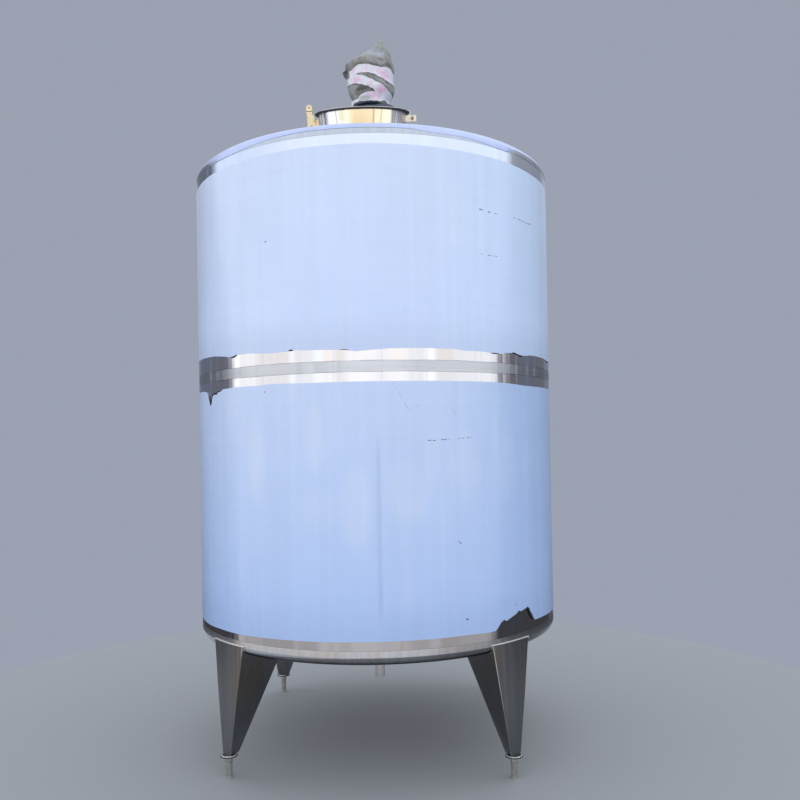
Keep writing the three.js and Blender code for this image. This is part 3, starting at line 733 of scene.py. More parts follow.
def neck_steel():
    """Mirror neck of the manhole with broad gold, cream, green and dark streaks, painted by angle and height
    as reflections of its surroundings.
    """
    colours = tank_colours()
    steel = Finish("neck_steel")
    x, y, z = steel.place()
    ahead = y + MANHOLE_SEAT
    degrees = steel.degrees(x, ahead)
    turn = degrees / DEGREES
    fine = steel.noise((turn * 11, 0.0, z * 0.6), detail=4)
    broad = steel.noise((turn * 3.1 + 4.0, 0.0, 0.0), detail=2)

    def stripe(start, end, soft):
        return steel.stripe(degrees, start, end, soft)

    # The neck's streaks below are painted reflections
    level = (z - NECK_MIDDLE) * 18 - ahead * 4.8
    tone = steel.mix(colours.steel_cool, colours.neck_cream_reflection, stripe(-19, 44, 4))
    gold = stripe(-10, 17, 3) * steel.clamp(0.55 + fine * 0.5 - level * 0.25)
    tone = steel.mix(tone, colours.gold_reflection_and_tint, gold)
    green = stripe(-25, -18, 2) * 0.6 * steel.between(level, -0.2, 0.3)
    tone = steel.mix(tone, colours.neck_green_reflection, green)
    foot = stripe(-30, 44, 3) * steel.between(level, -0.05, -0.55)
    gold = stripe(17, 32, 3) * 0.35 + foot * steel.between(fine, 0.36, 0.56)
    tone = steel.mix(tone, colours.gold_reflection_and_tint, gold)
    tone = steel.scaled(tone, 1 - foot * steel.between(fine, 0.45, 0.62) * 0.35)
    darkening = 0.0
    for start, end, soft, strength in NECK_DARK_REFLECTIONS:
        darkening = stripe(start, end, soft) * strength + darkening
    dark = steel.clamp(darkening * 0.65 + steel.between(fine, 0.60, 0.70) * 0.45)
    tone = steel.mix(tone, colours.neck_dark_reflection, dark)
    normal = steel.bump(fine * 0.3 + broad, 0.002)
    ends = 1 - stripe(-50, 50, 3)
    rough = 0.14 + fine * 0.1 + ends * steel.between(fine, 0.36, 0.52) * 0.40
    return steel.shade(Base_Color=tone, Metallic=1.0, Roughness=rough, Normal=normal)


def lug_steel():
    """Polished lugs painted warm as a reflection of warm light, paler towards +X, with small stains and a
    dark joint round the clamp's eye.
    """
    colours = tank_colours()
    steel = Finish("lug_steel")
    x, y, z = steel.place()
    stain = steel.noise((x * 70, y * 70, z * 70), detail=4)
    # Painted warm reflection, paler towards +X
    tone = steel.mix(colours.lug, colours.lug_pale_reflection, steel.between(x, 0.0, 0.1) * 0.7)
    tone = steel.mix(tone, colours.lug_stain, steel.between(stain, 0.54, 0.78) * 0.6)
    tone = steel.scaled(tone, 1 - steel.stripe(z, *CLAMP_JOINT, 0.001) * 0.9)
    rough = 0.22 + stain * 0.2
    return steel.shade(Base_Color=tone, Metallic=0.9, Roughness=rough, Normal=steel.bump(stain, 0.0005))


def pin_steel():
    """Stained pins."""
    colours = tank_colours()
    steel = Finish("pin_steel")
    x, y, z = steel.place()
    stain = steel.noise((x * 90, y * 90, z * 90), detail=3)
    tone = steel.mix(colours.pin_dark, colours.pin_light, stain)
    rough = 0.35 + stain * 0.2
    return steel.shade(Base_Color=tone, Metallic=0.6, Roughness=rough, Normal=steel.bump(stain, 0.0003))


def film(name, node, bottom_tone, top_tone, painted_sky_tone, offset, patches):
    """Stuck-on film: a soft change of tone with height, bluer light from the right painted into its colour,
    faint streaks, loose pale patches, a lap line and ripples."""
    bottom, top = low(node).z, high(node).z
    sheet = Finish(name)
    x, y, z = sheet.place()
    height = sheet.clamp((z - bottom) / (top - bottom))
    tone = sheet.mix(bottom_tone, top_tone, height)
    # Painted skylight: towards +X the film turns to its right-side tone
    tone = sheet.mix(tone, painted_sky_tone, sheet.between(x, 0.28, 0.75) * 0.8)
    streak = sheet.noise((x * 24 + offset, y * 24, z * 0.5), detail=5)
    broad = sheet.noise((x * 2.2 + offset, y * 2.2, z * 1.3), detail=3)
    rolled = sheet.noise((x * 1.2, y * 1.2 + offset, z * 30), detail=3)
    cloud = sheet.noise((x * 5 + offset, y * 5, z * 6), detail=5, roughness=0.6)
    degrees = sheet.degrees(x, y)
    loose = sheet.between(sheet.noise((x * 8 + offset, y * 8, z * 1.9), detail=3), 0.54, 0.74) * 0.4
    loose = sheet.most(loose, sheet.blots(degrees, z, patches) * (0.5 + streak * 0.6))
    tone = sheet.mix(tone, tank_colours().film_loose, loose * (0.16 + cloud * 0.14))
    lap = sheet.stripe(degrees, offset - 0.6, offset + 0.6, 0.4) * sheet.stripe(z, 0.78, 1.50, 0.08)
    level = 0.85 + streak * 0.12 + broad * 0.08 + rolled * 0.06 + cloud * 0.05
    ends = sheet.between(height, 0.22, 0.0) * 0.10
    tone = sheet.scaled(tone, level - ends - lap * 0.10)
    ripple = streak * 0.25 + broad * 1.4 + rolled * 0.1
    return sheet.shade(
        Base_Color=tone, Metallic=0.0, Roughness=0.17 + cloud * 0.12, Normal=sheet.bump(ripple, 0.0022)
    )


def upper_film():
    colours = tank_colours()
    tones = colours.film_middle, colours.film_top, colours.upper_film_painted_sky
    return film("upper_film", "film_upper", *tones, 0.0, LOOSE_UPPER)


def lower_film():
    colours = tank_colours()
    tones = colours.film_bottom, colours.film_lower, colours.lower_film_painted_sky
    return film("lower_film", "film_lower", *tones, 5.0, LOOSE_LOWER)


def roof_film():
    """Lavender film on the roof, with radial wrinkles. It clings to the knuckle and mirrors like it."""
    colours = tank_colours()
    sheet = Finish("roof_film")
    x, y, z = sheet.place()
    out = (x * x + y * y) ** 0.5
    turn = sheet.math("ARCTAN2", x, y)
    wrinkle = sheet.noise((turn * 18, out * 1.5, 0.0), detail=4)
    patch = sheet.noise((x * 4, y * 4, z * 4), detail=3)
    tone = sheet.mix(colours.roof_film, colours.roof_edge, sheet.between(out, 0.862, 0.885))
    tone = sheet.scaled(tone, 0.86 + wrinkle * 0.14 + patch * 0.12)
    normal = sheet.bump(wrinkle * 0.6 + patch, 0.003)
    mirror = sheet.between(out, 0.860, 0.872) * 0.85
    return sheet.shade(Base_Color=tone, Metallic=mirror, Roughness=0.20 + patch * 0.12, Normal=normal)


def film_back():
    """Curled film painted near-black as the shade under its rolls, with lighter patches."""
    colours = tank_colours()
    sheet = Finish("film_back")
    x, y, z = sheet.place()
    patch = sheet.noise((x * 90, y * 90, z * 90), detail=3)
    tone = sheet.mix(colours.film_shade, colours.film_sheen, sheet.between(patch, 0.55, 0.8))
    rough = 0.4 + patch * 0.2
    return sheet.shade(Base_Color=tone, Metallic=0.0, Roughness=rough, Normal=sheet.bump(patch, 0.001))


def scratch():
    """Dark steel and torn film in the scratches."""
    colours = tank_colours()
    cut = Finish("scratch")
    x, y, z = cut.place()
    patch = cut.noise((x * 120, y * 120, z * 120), detail=2)
    tone = cut.mix(colours.scratch_dark, colours.scratch_light, cut.between(patch, 0.45, 0.65))
    rough = 0.4 + patch * 0.2
    return cut.shade(Base_Color=tone, Metallic=0.3, Roughness=rough, Normal=cut.bump(patch, 0.0005))


def rubber():
    colours = tank_colours()
    gasket = Finish("gasket_rubber")
    x, y, z = gasket.place()
    patch = gasket.noise((x * 40, y * 40, z * 40), detail=3)
    tone = gasket.scaled(colours.rubber, 0.7 + patch * 0.8)
    rough = 0.5 + patch * 0.2
    return gasket.shade(Base_Color=tone, Metallic=0.0, Roughness=rough, Normal=gasket.bump(patch, 0.0006))


def machine_paint():
    """Blue machine paint with a light orange peel and dust, and a lighter highlight painted on the housing's
    lower part towards -X.
    """
    colours = tank_colours()
    paint = Finish("machine_paint")
    x, y, z = paint.place()
    peel = paint.noise((x * 260, y * 260, z * 260), detail=2)
    dust = paint.noise((x * 12, y * 12, z * 20), detail=4)
    tone = paint.mix(colours.paint, colours.paint_dust, paint.between(dust, 0.5, 0.8) * 0.4)
    heights, places = PAINTED_HIGHLIGHT
    # Painted highlight, lighter blue
    painted_light = paint.between(z, *heights) * paint.between(x, *places)
    tone = paint.mix(tone, colours.paint_highlight, painted_light * 0.8)
    rough = 0.26 + dust * 0.2
    normal = paint.bump(peel, 0.0003)
    return paint.shade(Base_Color=tone, Metallic=0.0, Roughness=rough, Coat_Weight=0.5, Normal=normal)


def bag_turn(look):
    """Angle round the bag, then X, Y and Z, for a finish of the bag."""
    x, y, z = look.place()
    return look.degrees(x - BAG_AXIS, y), x, y, z


def bag_cloth():
    """Woven cloth, paler and bluer at the front of its top, with dark patches that are mostly painted shade
    and partly dirt, and painted shade in its creases.
    """
    colours = tank_colours()
    cloth = Finish("bag_cloth")
    turn, x, y, z = bag_turn(cloth)
    along = cloth.node("ShaderNodeUVMap", {"uv_map": "weave"})
    thread = cloth.node("ShaderNodeSeparateXYZ", None, {"Vector": along})
    weave = cloth.math("SINE", thread * THREADS) * cloth.math("SINE", thread.out("Y") * THREADS)
    crease = cloth.node("ShaderNodeAttribute", {"attribute_name": "crease"}, None, "Fac")
    patch = cloth.noise((x * 15, y * 15, z * 15), detail=5, roughness=0.6)
    tone = cloth.mix(colours.cloth_dark, colours.cloth_light, cloth.between(patch, 0.34, 0.62))
    # Paler, bluer cloth at the front of the top
    tone = cloth.mix(tone, colours.cloth_pale_top, cloth.blots(turn, z + patch * 0.03 - 0.015, PALE_TOP) * 0.9)
    darkening = cloth.blots(turn, z + patch * 0.008 - 0.004, SHADES_AND_MARKS)
    tone = cloth.mix(tone, colours.cloth_shade_and_mark, darkening * 0.85)
    tone = cloth.mix(tone, colours.cloth_crease, crease)
    tone = cloth.scaled(tone, 0.9 + weave * 0.12 + patch * 0.2)
    normal = cloth.bump(weave * 0.3 + patch * 2.5, 0.0012)
    return cloth.shade(Base_Color=tone, Metallic=0.0, Roughness=0.86 + weave * 0.06, Normal=normal)


def tape():
    """White plastic tape with pink smears, greyer low down from painted shade and dirt, and small crinkles.
    """
    colours = tank_colours()
    band = Finish("tape")
    turn, x, y, z = bag_turn(band)
    speck = band.noise((x * 110, y * 110, z * 110), detail=4)
    share = band.blots(turn, z, SMEARS) * band.between(speck, 0.30, 0.62) * 0.8
    tone = band.mix(colours.tape, colours.tape_smear, share)
    # Painted shade and dirt on the tape's lowest pass
    tone = band.mix(tone, colours.tape_shade_and_dirt, band.blots(turn, z, SHADE_AND_DIRT))
    crinkle = band.noise((x * 60, y * 60, z * 200), detail=4)
    tone = band.scaled(tone, 0.9 + crinkle * 0.2)
    return band.shade(
        Base_Color=tone, Metallic=0.0, Roughness=0.30 + crinkle * 0.15, Normal=band.bump(crinkle, 0.0012)
    )


def floor():
    """Plain pale floor."""
    ground = Finish("floor")
    x, y, _ = ground.place()
    patch = ground.noise((x * 0.8, y * 0.8, 0.0), detail=2)
    tone = ground.scaled(tank_colours().floor, 0.98 + patch * 0.04)
    return ground.shade(Base_Color=tone, Metallic=0.0, Roughness=0.75 + patch * 0.1)


FINISH_MAKERS = {
    maker.__name__: maker
    for maker in (
        polished_steel, head_steel, leg_steel, satin_steel, foot_steel, weld_metal, neck_steel, lug_steel,
        pin_steel, upper_film, lower_film, roof_film, film_back, scratch, rubber, machine_paint, bag_cloth,
        tape, floor,
    )
}


# Meshes


def add_piece(name, corners, faces, finish_name, crease=30.0):
    """A mesh object from corners and faces, smooth under the crease angle."""
    mesh = bpy.data.meshes.new(name)
    mesh.from_pydata([tuple(corner) for corner in corners], [], faces)
    tidy_mesh(mesh, crease)
    return add_object(name, mesh, finish_name)


def tidy_mesh(mesh, crease):
    """Merges doubled corners, turns the faces outwards and keeps edges past the crease angle sharp."""
    work = bmesh.new()
    work.from_mesh(mesh)
    bmesh.ops.remove_doubles(work, verts=work.verts, dist=2e-6)
    bmesh.ops.recalc_face_normals(work, faces=work.faces)
    work.to_mesh(mesh)
    work.free()
    mesh.shade_smooth()
    mesh.set_sharp_from_angle(angle=math.radians(crease))


def add_object(name, mesh, finish_name):
    mesh.materials.clear()
    mesh.materials.append(finish(finish_name))
    piece = bpy.data.objects.new(name, mesh)
    bpy.context.scene.collection.objects.link(piece)
    return piece


def settle(piece, body, slot, *nodes):
    """Puts a finished piece on its body and hides the CAD nodes that it stands for; slot is not used. Its
    large faces stay flat beside their rounded edges."""
    piece.modifiers.new("flats", "WEIGHTED_NORMAL").keep_sharp = True
    apply_modifiers(piece)
    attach(piece, body)
    if nodes:
        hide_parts(*nodes)
    return piece


def apply_modifiers(piece):
    evaluated = piece.evaluated_get(bpy.context.evaluated_depsgraph_get())
    mesh = bpy.data.meshes.new_from_object(evaluated)
    piece.modifiers.clear()
    piece.data = mesh
    return mesh


def step(value, start, end):
    """0 up to start, 1 past end and smooth between them."""
    share = min(1.0, max(0.0, (value - start) / (end - start)))
    return share * share * (3 - 2 * share)


def grid_faces(rows, columns, offset=0):
    """Faces between rows of corners, each row closed in a ring."""
    faces = []
    for k in range(rows - 1):
        for i in range(columns):
            a, b = offset + k * columns + i, offset + k * columns + (i + 1) % columns
            faces.append((a, b, b + columns, a + columns))
    return faces


def round_point(radius, degrees, height):
    turn = math.radians(degrees)
    return Vector((radius * math.sin(turn), -radius * math.cos(turn), height))


def skin(outline_at, sides, looped=True, matrix=None):
    """Corners and faces of a piece that goes round Z. outline_at gives its (radius, height) or
    (radius, height, shift in X) points at an angle; a looped outline joins its end to its start."""
    corners = []
    for i in range(sides):
        degrees = -180 + 360 * i / sides
        for radius, height, *shift in outline_at(degrees):
            corner = round_point(radius, degrees, height)
            corner.x += shift[0] if shift else 0
            corners.append(matrix @ corner if matrix else corner)
    count = len(corners) // sides
    faces = []
    for i in range(sides):
        here, ahead = i * count, (i + 1) % sides * count
        for k in range(count if looped else count - 1):
            up = (k + 1) % count
            faces.append((here + k, ahead + k, ahead + up, here + up))
    return corners, faces


def turned(name, outline, finish_name, sides, looped=True, matrix=None):
    """A round piece from (radius, height) points."""
    return add_piece(name, *skin(lambda degrees: outline, sides, looped, matrix), finish_name)


def rounded(outline, radius, steps=3):
    """The outline with an arc in place of each corner that has room for one."""
    result = []
    count = len(outline)
    for i, (r, h) in enumerate(outline):
        point = Vector((r, h))
        before = Vector(outline[i - 1])
        after = Vector(outline[(i + 1) % count])
        back, on = before - point, after - point
        if r < 1e-9 or min(back.length, on.length) < 2.2 * radius:
            result.append((r, h))
            continue
        start = point + back.normalized() * radius
        end = point + on.normalized() * radius
        for k in range(steps + 1):
            share = k / steps
            arc = start.lerp(point, share).lerp(point.lerp(end, share), share)
            result.append((arc.x, arc.y))
    return result


def from_nodes(name, tree, inputs, finish_name, points=(), edges=(), faces=(), crease=40.0):
    """A plain mesh piece grown from a mesh by a Geometry Nodes tree."""
    seed = bpy.data.meshes.new(name + "_seed")
    seed.from_pydata([tuple(point) for point in points], list(edges), list(faces))
    piece = bpy.data.objects.new(name, seed)
    bpy.context.scene.collection.objects.link(piece)
    grow = piece.modifiers.new("grow", "NODES")
    grow.node_group = tree
    values = dict(inputs, Finish=finish(finish_name))
    for item in tree.interface.items_tree:
        if item.in_out == "INPUT" and item.name in values:
            grow[item.identifier] = values[item.name]
    mesh = apply_modifiers(piece)
    bpy.data.meshes.remove(seed)
    tidy_mesh(mesh, crease)
    mesh.materials.clear()
    mesh.materials.append(finish(finish_name))
    return piece


class Grower(Graph):
    """A Geometry Nodes tree with a geometry input, named inputs and a finish set at its end."""

    def __init__(self, name, inputs):
        super().__init__(bpy.data.node_groups.new(name, "GeometryNodeTree"))
        face = self.tree.interface
        face.new_socket("Geometry", in_out="INPUT", socket_type="NodeSocketGeometry")
        for label, kind, value in inputs:
            socket = face.new_socket(label, in_out="INPUT", socket_type="NodeSocket" + kind)
            socket.default_value = value
        face.new_socket("Finish", in_out="INPUT", socket_type="NodeSocketMaterial")
        face.new_socket("Geometry", in_out="OUTPUT", socket_type="NodeSocketGeometry")
        self.inputs = self.node("NodeGroupInput")

    def given(self, label):
        return self.inputs.out(label)

    def end(self, geometry):
        real = self.node("GeometryNodeRealizeInstances", None, {"Geometry": geometry})
        wanted = {"Geometry": real, "Material": self.given("Finish")}
        painted = self.node("GeometryNodeSetMaterial", None, wanted)
        self.node("NodeGroupOutput", None, {"Geometry": painted})
        return self.tree


def bead_tree():
    """A rippled bead that follows the edges of a mesh."""
    numbers = {"Radius": 0.0045, "Ripple": 0.25, "Spacing": 0.004, "Seed": 0.0}
    grower = Grower("weld_bead", [(label, "Float", value) for label, value in numbers.items()])
    curve = grower.node("GeometryNodeMeshToCurve", None, {"Mesh": grower.given("Geometry")})
    wanted = {"Curve": curve, "Length": grower.given("Spacing") * 0.5}
    even = grower.node("GeometryNodeResampleCurve", {"mode": "LENGTH"}, wanted)
    where = grower.node("GeometryNodeInputPosition")
    rough = {"Vector": where, "Scale": 60.0, "Detail": 2.0, "W": grower.given("Seed")}
    rough = grower.node("ShaderNodeTexNoise", {"noise_dimensions": "4D"}, rough)
    along = grower.node("GeometryNodeSplineParameter", output="Length")
    wave = grower.math("SINE", along * (2 * math.pi) / grower.given("Spacing"))
    swell = 1 + grower.given("Ripple") * (wave * 0.4 + rough * 2 - 1)
    wanted = {"Resolution": 10, "Radius": grower.given("Radius")}
    profile = grower.node("GeometryNodeCurvePrimitiveCircle", None, wanted)
    wanted = {"Curve": even, "Profile Curve": profile, "Scale": swell, "Fill Caps": True}
    return grower.end(grower.node("GeometryNodeCurveToMesh", None, wanted))


def bolt_ring_tree():
    """Hexagon heads on washers, evenly round a circle."""
    numbers = {"Ring": 0.1, "Level": 0.0, "Head": 0.01, "Depth": 0.007}
    inputs = [("Count", "Int", 8)] + [(label, "Float", value) for label, value in numbers.items()]
    grower = Grower("bolt_ring", inputs)
    wanted = {"Vertices": grower.given("Count"), "Radius": grower.given("Ring")}
    circle = grower.node("GeometryNodeMeshCircle", None, wanted)
    head = {"Vertices": 6, "Radius": grower.given("Head"), "Depth": grower.given("Depth")}
    head = grower.node("GeometryNodeMeshCylinder", None, head)
    washer = {"Vertices": 20, "Radius": grower.given("Head") * 1.25, "Depth": grower.given("Depth") * 0.3}
    washer = grower.node("GeometryNodeMeshCylinder", None, washer)
    half = grower.given("Depth") * 0.5
    up = grower.vector(0.0, 0.0, grower.given("Depth") * 0.3 + half)
    head = grower.node("GeometryNodeTransform", None, {"Geometry": head, "Translation": up})
    up = grower.vector(0.0, 0.0, half * 0.3)
    washer = grower.node("GeometryNodeTransform", None, {"Geometry": washer, "Translation": up})
    both = grower.node("GeometryNodeJoinGeometry")
    for part in (washer, head):
        grower.tree.links.new(part.socket, both.socket.node.inputs[0])
    bolts = grower.node("GeometryNodeInstanceOnPoints", None, {"Points": circle, "Instance": both})
    up = grower.vector(0.0, 0.0, grower.given("Level"))
    return grower.end(grower.node("GeometryNodeTransform", None, {"Geometry": bolts, "Translation": up}))


def corner_tree():
    """Repeats a part at each corner of the stand, turned to face outwards."""
    grower = Grower("stand_corners", [("Corners", "Int", 4), ("Stand", "Float", STAND_RADIUS)])
    wanted = {"Vertices": grower.given("Corners"), "Radius": grower.given("Stand")}
    circle = grower.node("GeometryNodeMeshCircle", None, wanted)
    turn = math.radians(360 / 8)
    ring = grower.node("GeometryNodeTransform", None, {"Geometry": circle, "Rotation": (0, 0, turn)})
    where = grower.node("GeometryNodeInputPosition")
    parts = grower.node("ShaderNodeSeparateXYZ", None, {"Vector": where})
    facing = grower.math("ARCTAN2", parts.out("Y"), parts)
    rotation = grower.vector(0.0, 0.0, facing + math.pi / 2)
    wanted = {"Points": ring, "Instance": grower.given("Geometry"), "Rotation": rotation}
    return grower.end(grower.node("GeometryNodeInstanceOnPoints", None, wanted))


TREES = {}


def tree(maker):
    """A Geometry Nodes tree by its maker, made once."""
    if maker.__name__ not in TREES:
        TREES[maker.__name__] = maker()
    return TREES[maker.__name__]


def add_bead(name, points, radius, closed=True, ripple=0.25, seed=0.0):
    """A weld bead along points."""
    count = len(points)
    edges = [(i, (i + 1) % count) for i in range(count if closed else count - 1)]
    spacing = tank_sizes().bead_spacing
    inputs = {"Radius": radius, "Ripple": ripple, "Spacing": spacing, "Seed": seed}
    return from_nodes(name, tree(bead_tree), inputs, "weld_metal", points, edges)


def bored(piece, *cutters):
    """Cuts round holes through a piece and makes the result its mesh."""
    for cutter in cutters:
        hole = piece.modifiers.new("hole", "BOOLEAN")
        hole.object = cutter
        hole.solver = "EXACT"
    mesh = apply_modifiers(piece)
    mesh.shade_smooth()
    mesh.set_sharp_from_angle(angle=math.radians(30))
    for cutter in cutters:
        bpy.data.objects.remove(cutter)
    return piece


def softened(node, name, finish_name, width, body, slot, steps=2):
    """A CAD node's copy with merged corners and rounded edges, in the node's place."""
    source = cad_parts[node].data
    mesh = bpy.data.meshes.new(name)
    corners = [tuple(corner.co) for corner in source.vertices]
    mesh.from_pydata(corners, [], [tuple(face.vertices) for face in source.polygons])
    work = bmesh.new()
    work.from_mesh(mesh)
    bmesh.ops.remove_doubles(work, verts=work.verts, dist=1e-5)
    bmesh.ops.dissolve_limit(work, angle_limit=math.radians(0.6), verts=work.verts, edges=work.edges)
    least = math.radians(25)
    sharp = [edge for edge in work.edges if edge.is_manifold and edge.calc_face_angle() > least]
    bmesh.ops.bevel(
        work, geom=sharp, offset=width, segments=steps, profile=0.5, affect="EDGES", clamp_overlap=True
    )
    work.to_mesh(mesh)
    work.free()
    tidy_mesh(mesh, 35.0)
    piece = add_object(name, mesh, finish_name)
    return settle(piece, body, slot, node)


# Shell and heads


def head_line(head, inset=0.0, inner=0.0, begin=0.0, down=None):
    """(radius, height) points of a head from the shell's edge to an inner radius, under its outside
    by inset. Film starts further in, at an angle round the knuckle, or down on the flange."""
    bend = head["knuckle"] - inset
    start = head["edge"] + head["up"] * head["flange"]
    middle = SHELL_RADIUS - head["knuckle"]
    line = [(SHELL_RADIUS - inset, head["edge"])]
    if down is not None:
        line = [(middle + bend * math.cos(begin), start - down + bend * math.sin(begin))]
    for i in range(KNUCKLE_STEPS + 1):
        angle = begin + (math.pi / 2 - head["slope"] - begin) * i / KNUCKLE_STEPS
        line.append((middle + bend * math.cos(angle), start + head["up"] * bend * math.sin(angle)))
    radius, height = line[-1]
    for i in range(1, CONE_STEPS + 1):
        along = (radius - inner) * i / CONE_STEPS
        line.append((radius - along, height + head["up"] * along * math.tan(head["slope"])))
    return line


def head_height(head, radius):
    """Height of a head's outside at a radius."""
    line = head_line(head)
    for (outer, first), (inner, second) in zip(line, line[1:]):
        if inner <= radius <= outer:
            share = (outer - radius) / max(outer - inner, 1e-9)
            return first + (second - first) * share
    return line[0][1]


def manhole_matrix():
    """From the manhole's own upright axis to its place square to the roof."""
    place = Matrix.Translation((0, -MANHOLE_SEAT, head_height(ROOF, MANHOLE_SEAT)))
    return place @ Matrix.Rotation(ROOF["slope"], 4, "X")


def add_cutter(name, radius_at, bottom, top, sides, matrix=None):
    """A closed cylinder with a radius that may change with the angle."""

    def outline(degrees):
        radius = radius_at(degrees)
        return [(0, bottom), (radius, bottom), (radius, top), (0, top)]

    return add_piece(name, *skin(outline, sides, False, matrix), "head_steel")


def add_shell():
    sides = tank_sizes().shell_sides
    inner = SHELL_RADIUS - WALL
    courses = {"lower": (SHELL_BOTTOM, GIRTH_SEAM - 0.0002), "upper": (GIRTH_SEAM + 0.0002, SHELL_TOP)}
    for course, (bottom, top) in courses.items():
        outline = [(inner, bottom), (SHELL_RADIUS, bottom), (SHELL_RADIUS, top), (inner, top)]
        piece = turned(f"{course}_course", rounded(outline, 0.0006), "polished_steel", sides)
        settle(piece, "tank", "polished_steel", f"shell_{course}_front", f"shell_{course}_back")
    inner, outer = SHELL_RADIUS - 0.001, SHELL_RADIUS + 0.0004
    low_edge, high_edge = low("girth_weld").z, high("girth_weld").z
    outline = [(inner, low_edge), (outer, low_edge), (outer, high_edge), (inner, high_edge)]
    bead = turned("girth_bead", rounded(outline, 0.0003), "polished_steel", sides)
    settle(bead, "tank", "weld", "girth_weld")


def add_heads():
    sides = tank_sizes().shell_sides
    outside = head_line(ROOF)
    inside = head_line(ROOF, WALL)
    roof = turned("roof", outside + inside[::-1], "head_steel", sides)
    bore = add_cutter("roof_bore", lambda degrees: NECK_BORE, -0.1, 0.1, 192, manhole_matrix())
    settle(bored(roof, bore), "tank", "polished_steel", "roof_front", "roof_back")
    outside = head_line(BOTTOM, 0, PIPE_BORE)
    inside = head_line(BOTTOM, WALL, PIPE_BORE)
    bottom = turned("bottom", outside + inside[::-1], "head_steel", sides)
    settle(bottom, "tank", "polished_steel", "bottom_head")
    radius, end = high("outlet_pipe").x, low("outlet_pipe").z
    top = head_height(BOTTOM, radius) - SEAT_GAP
    outline = [(PIPE_BORE, end), (radius, end), (radius, top), (PIPE_BORE, top)]
    pipe = turned("outlet", rounded(outline, 0.0005), "satin_steel", 64)
    settle(pipe, "tank", "brushed_steel", "outlet_pipe")
    ring = [round_point(radius + 0.001, i * 5, top) for i in range(72)]
    settle(add_bead("outlet_weld", ring, 0.003), "tank", "weld")


# Film


def ragged(degrees, seed, size):
    """A small even unevenness of a film edge round the tank."""
    turn = math.radians(degrees)
    coarse = noise.noise((math.cos(turn) * 9 + seed, math.sin(turn) * 9, seed))
    fine = noise.noise((math.cos(turn) * 60 + seed, math.sin(turn) * 60, seed * 2))
    return size * (coarse + 0.4 * fine)


def edge_height(points, degrees, seed):
    """Height of a film edge: along its points where it shows, and level and a little ragged behind."""
    first, last = points[0], points[-1]
    if degrees <= first[0] or degrees >= last[0]:
        gap = 360 - (last[0] - first[0])
        share = ((degrees - last[0]) % 360) / gap
        base = last[1] + (first[1] - last[1]) * share
        fade = min(1.0, share * 8, (1 - share) * 8)
        return base + ragged(degrees, seed, 0.005) * fade
    for (start, first_height), (end, second_height) in zip(points, points[1:]):
        if start <= degrees <= end:
            return first_height + (second_height - first_height) * (degrees - start) / (end - start)
    return last[1]


def add_film(name, bottom_points, top_points, seed, finish_name, slot, node):
    """Film round a course, between its two edges, with more rows of corners beside them."""
    inner = SHELL_RADIUS + FILM_GAP
    outer = inner + FILM_THICKNESS
    insets = (0.0, 0.0025, 0.008, 0.03)

    def outline(degrees):
        bottom = edge_height(bottom_points, degrees, seed)
        top = edge_height(top_points, degrees, seed + 3)
        heights = [bottom + inset for inset in insets] + [top - inset for inset in reversed(insets)]
        front = [(outer, height) for height in heights]
        return front + [(inner, height) for height in reversed(heights)]

    piece = add_piece(name, *skin(outline, tank_sizes().film_columns), finish_name, 40)
    settle(piece, "tank", slot, node)


def add_roof_film():
    """Film over the cone and the knuckle, cut out round the manhole and the agitator's pad. Its
    edge hangs down on the straight flange in places and stops on the knuckle in others."""
    lift = FILM_GAP + 0.0002
    rise, first_fall, last_fall = FILM_CLIMBS
    right, left = FILM_SIDES

    def outline(degrees):
        falls = 0.6 * step(degrees, *first_fall) + 0.4 * step(degrees, *last_fall)
        bare = step(degrees, *rise) * (1 - falls)
        bare = max(bare, step(degrees, *right), 1 - step(degrees, *left))
        uneven = ragged(degrees, 4.0, 0.0035)
        begin = FILM_START * bare + max(0.0, uneven / ROOF["knuckle"] * bare)
        down = FILM_HANG * (1 - bare) ** 2 + max(0.0, uneven) * 0.3
        down = min(down, FILM_HANG_MOST) if bare < 1 else 0.0
        outside = head_line(ROOF, -lift - FILM_THICKNESS, begin=begin, down=down)
        return outside + head_line(ROOF, -lift, begin=begin, down=down)[::-1]

    def manhole_edge(degrees):
        return FILM_ROUND_MANHOLE + ragged(degrees, 2.0, 0.008)

    def pad_edge(degrees):
        return PAD_RADIUS + FILM_ROUND_PAD + ragged(degrees, 6.0, 0.012)

    sheet = add_piece("roof_film", *skin(outline, tank_sizes().shell_sides), "roof_film")
    around = add_cutter("film_bore", manhole_edge, -0.2, 0.2, 192, manhole_matrix())
    middle = add_cutter("pad_bore", pad_edge, 2.9, 3.2, 180)
    settle(bored(sheet, around, middle), "tank", "pale_film")


def filled(points, steps):
    """The points with even steps between them."""
    line = []
    for first, second in zip(points, points[1:]):
        for i in range(steps):
            line.append(tuple(a + (b - a) * (i / steps) for a, b in zip(first, second)))
    return line + [tuple(points[-1])]


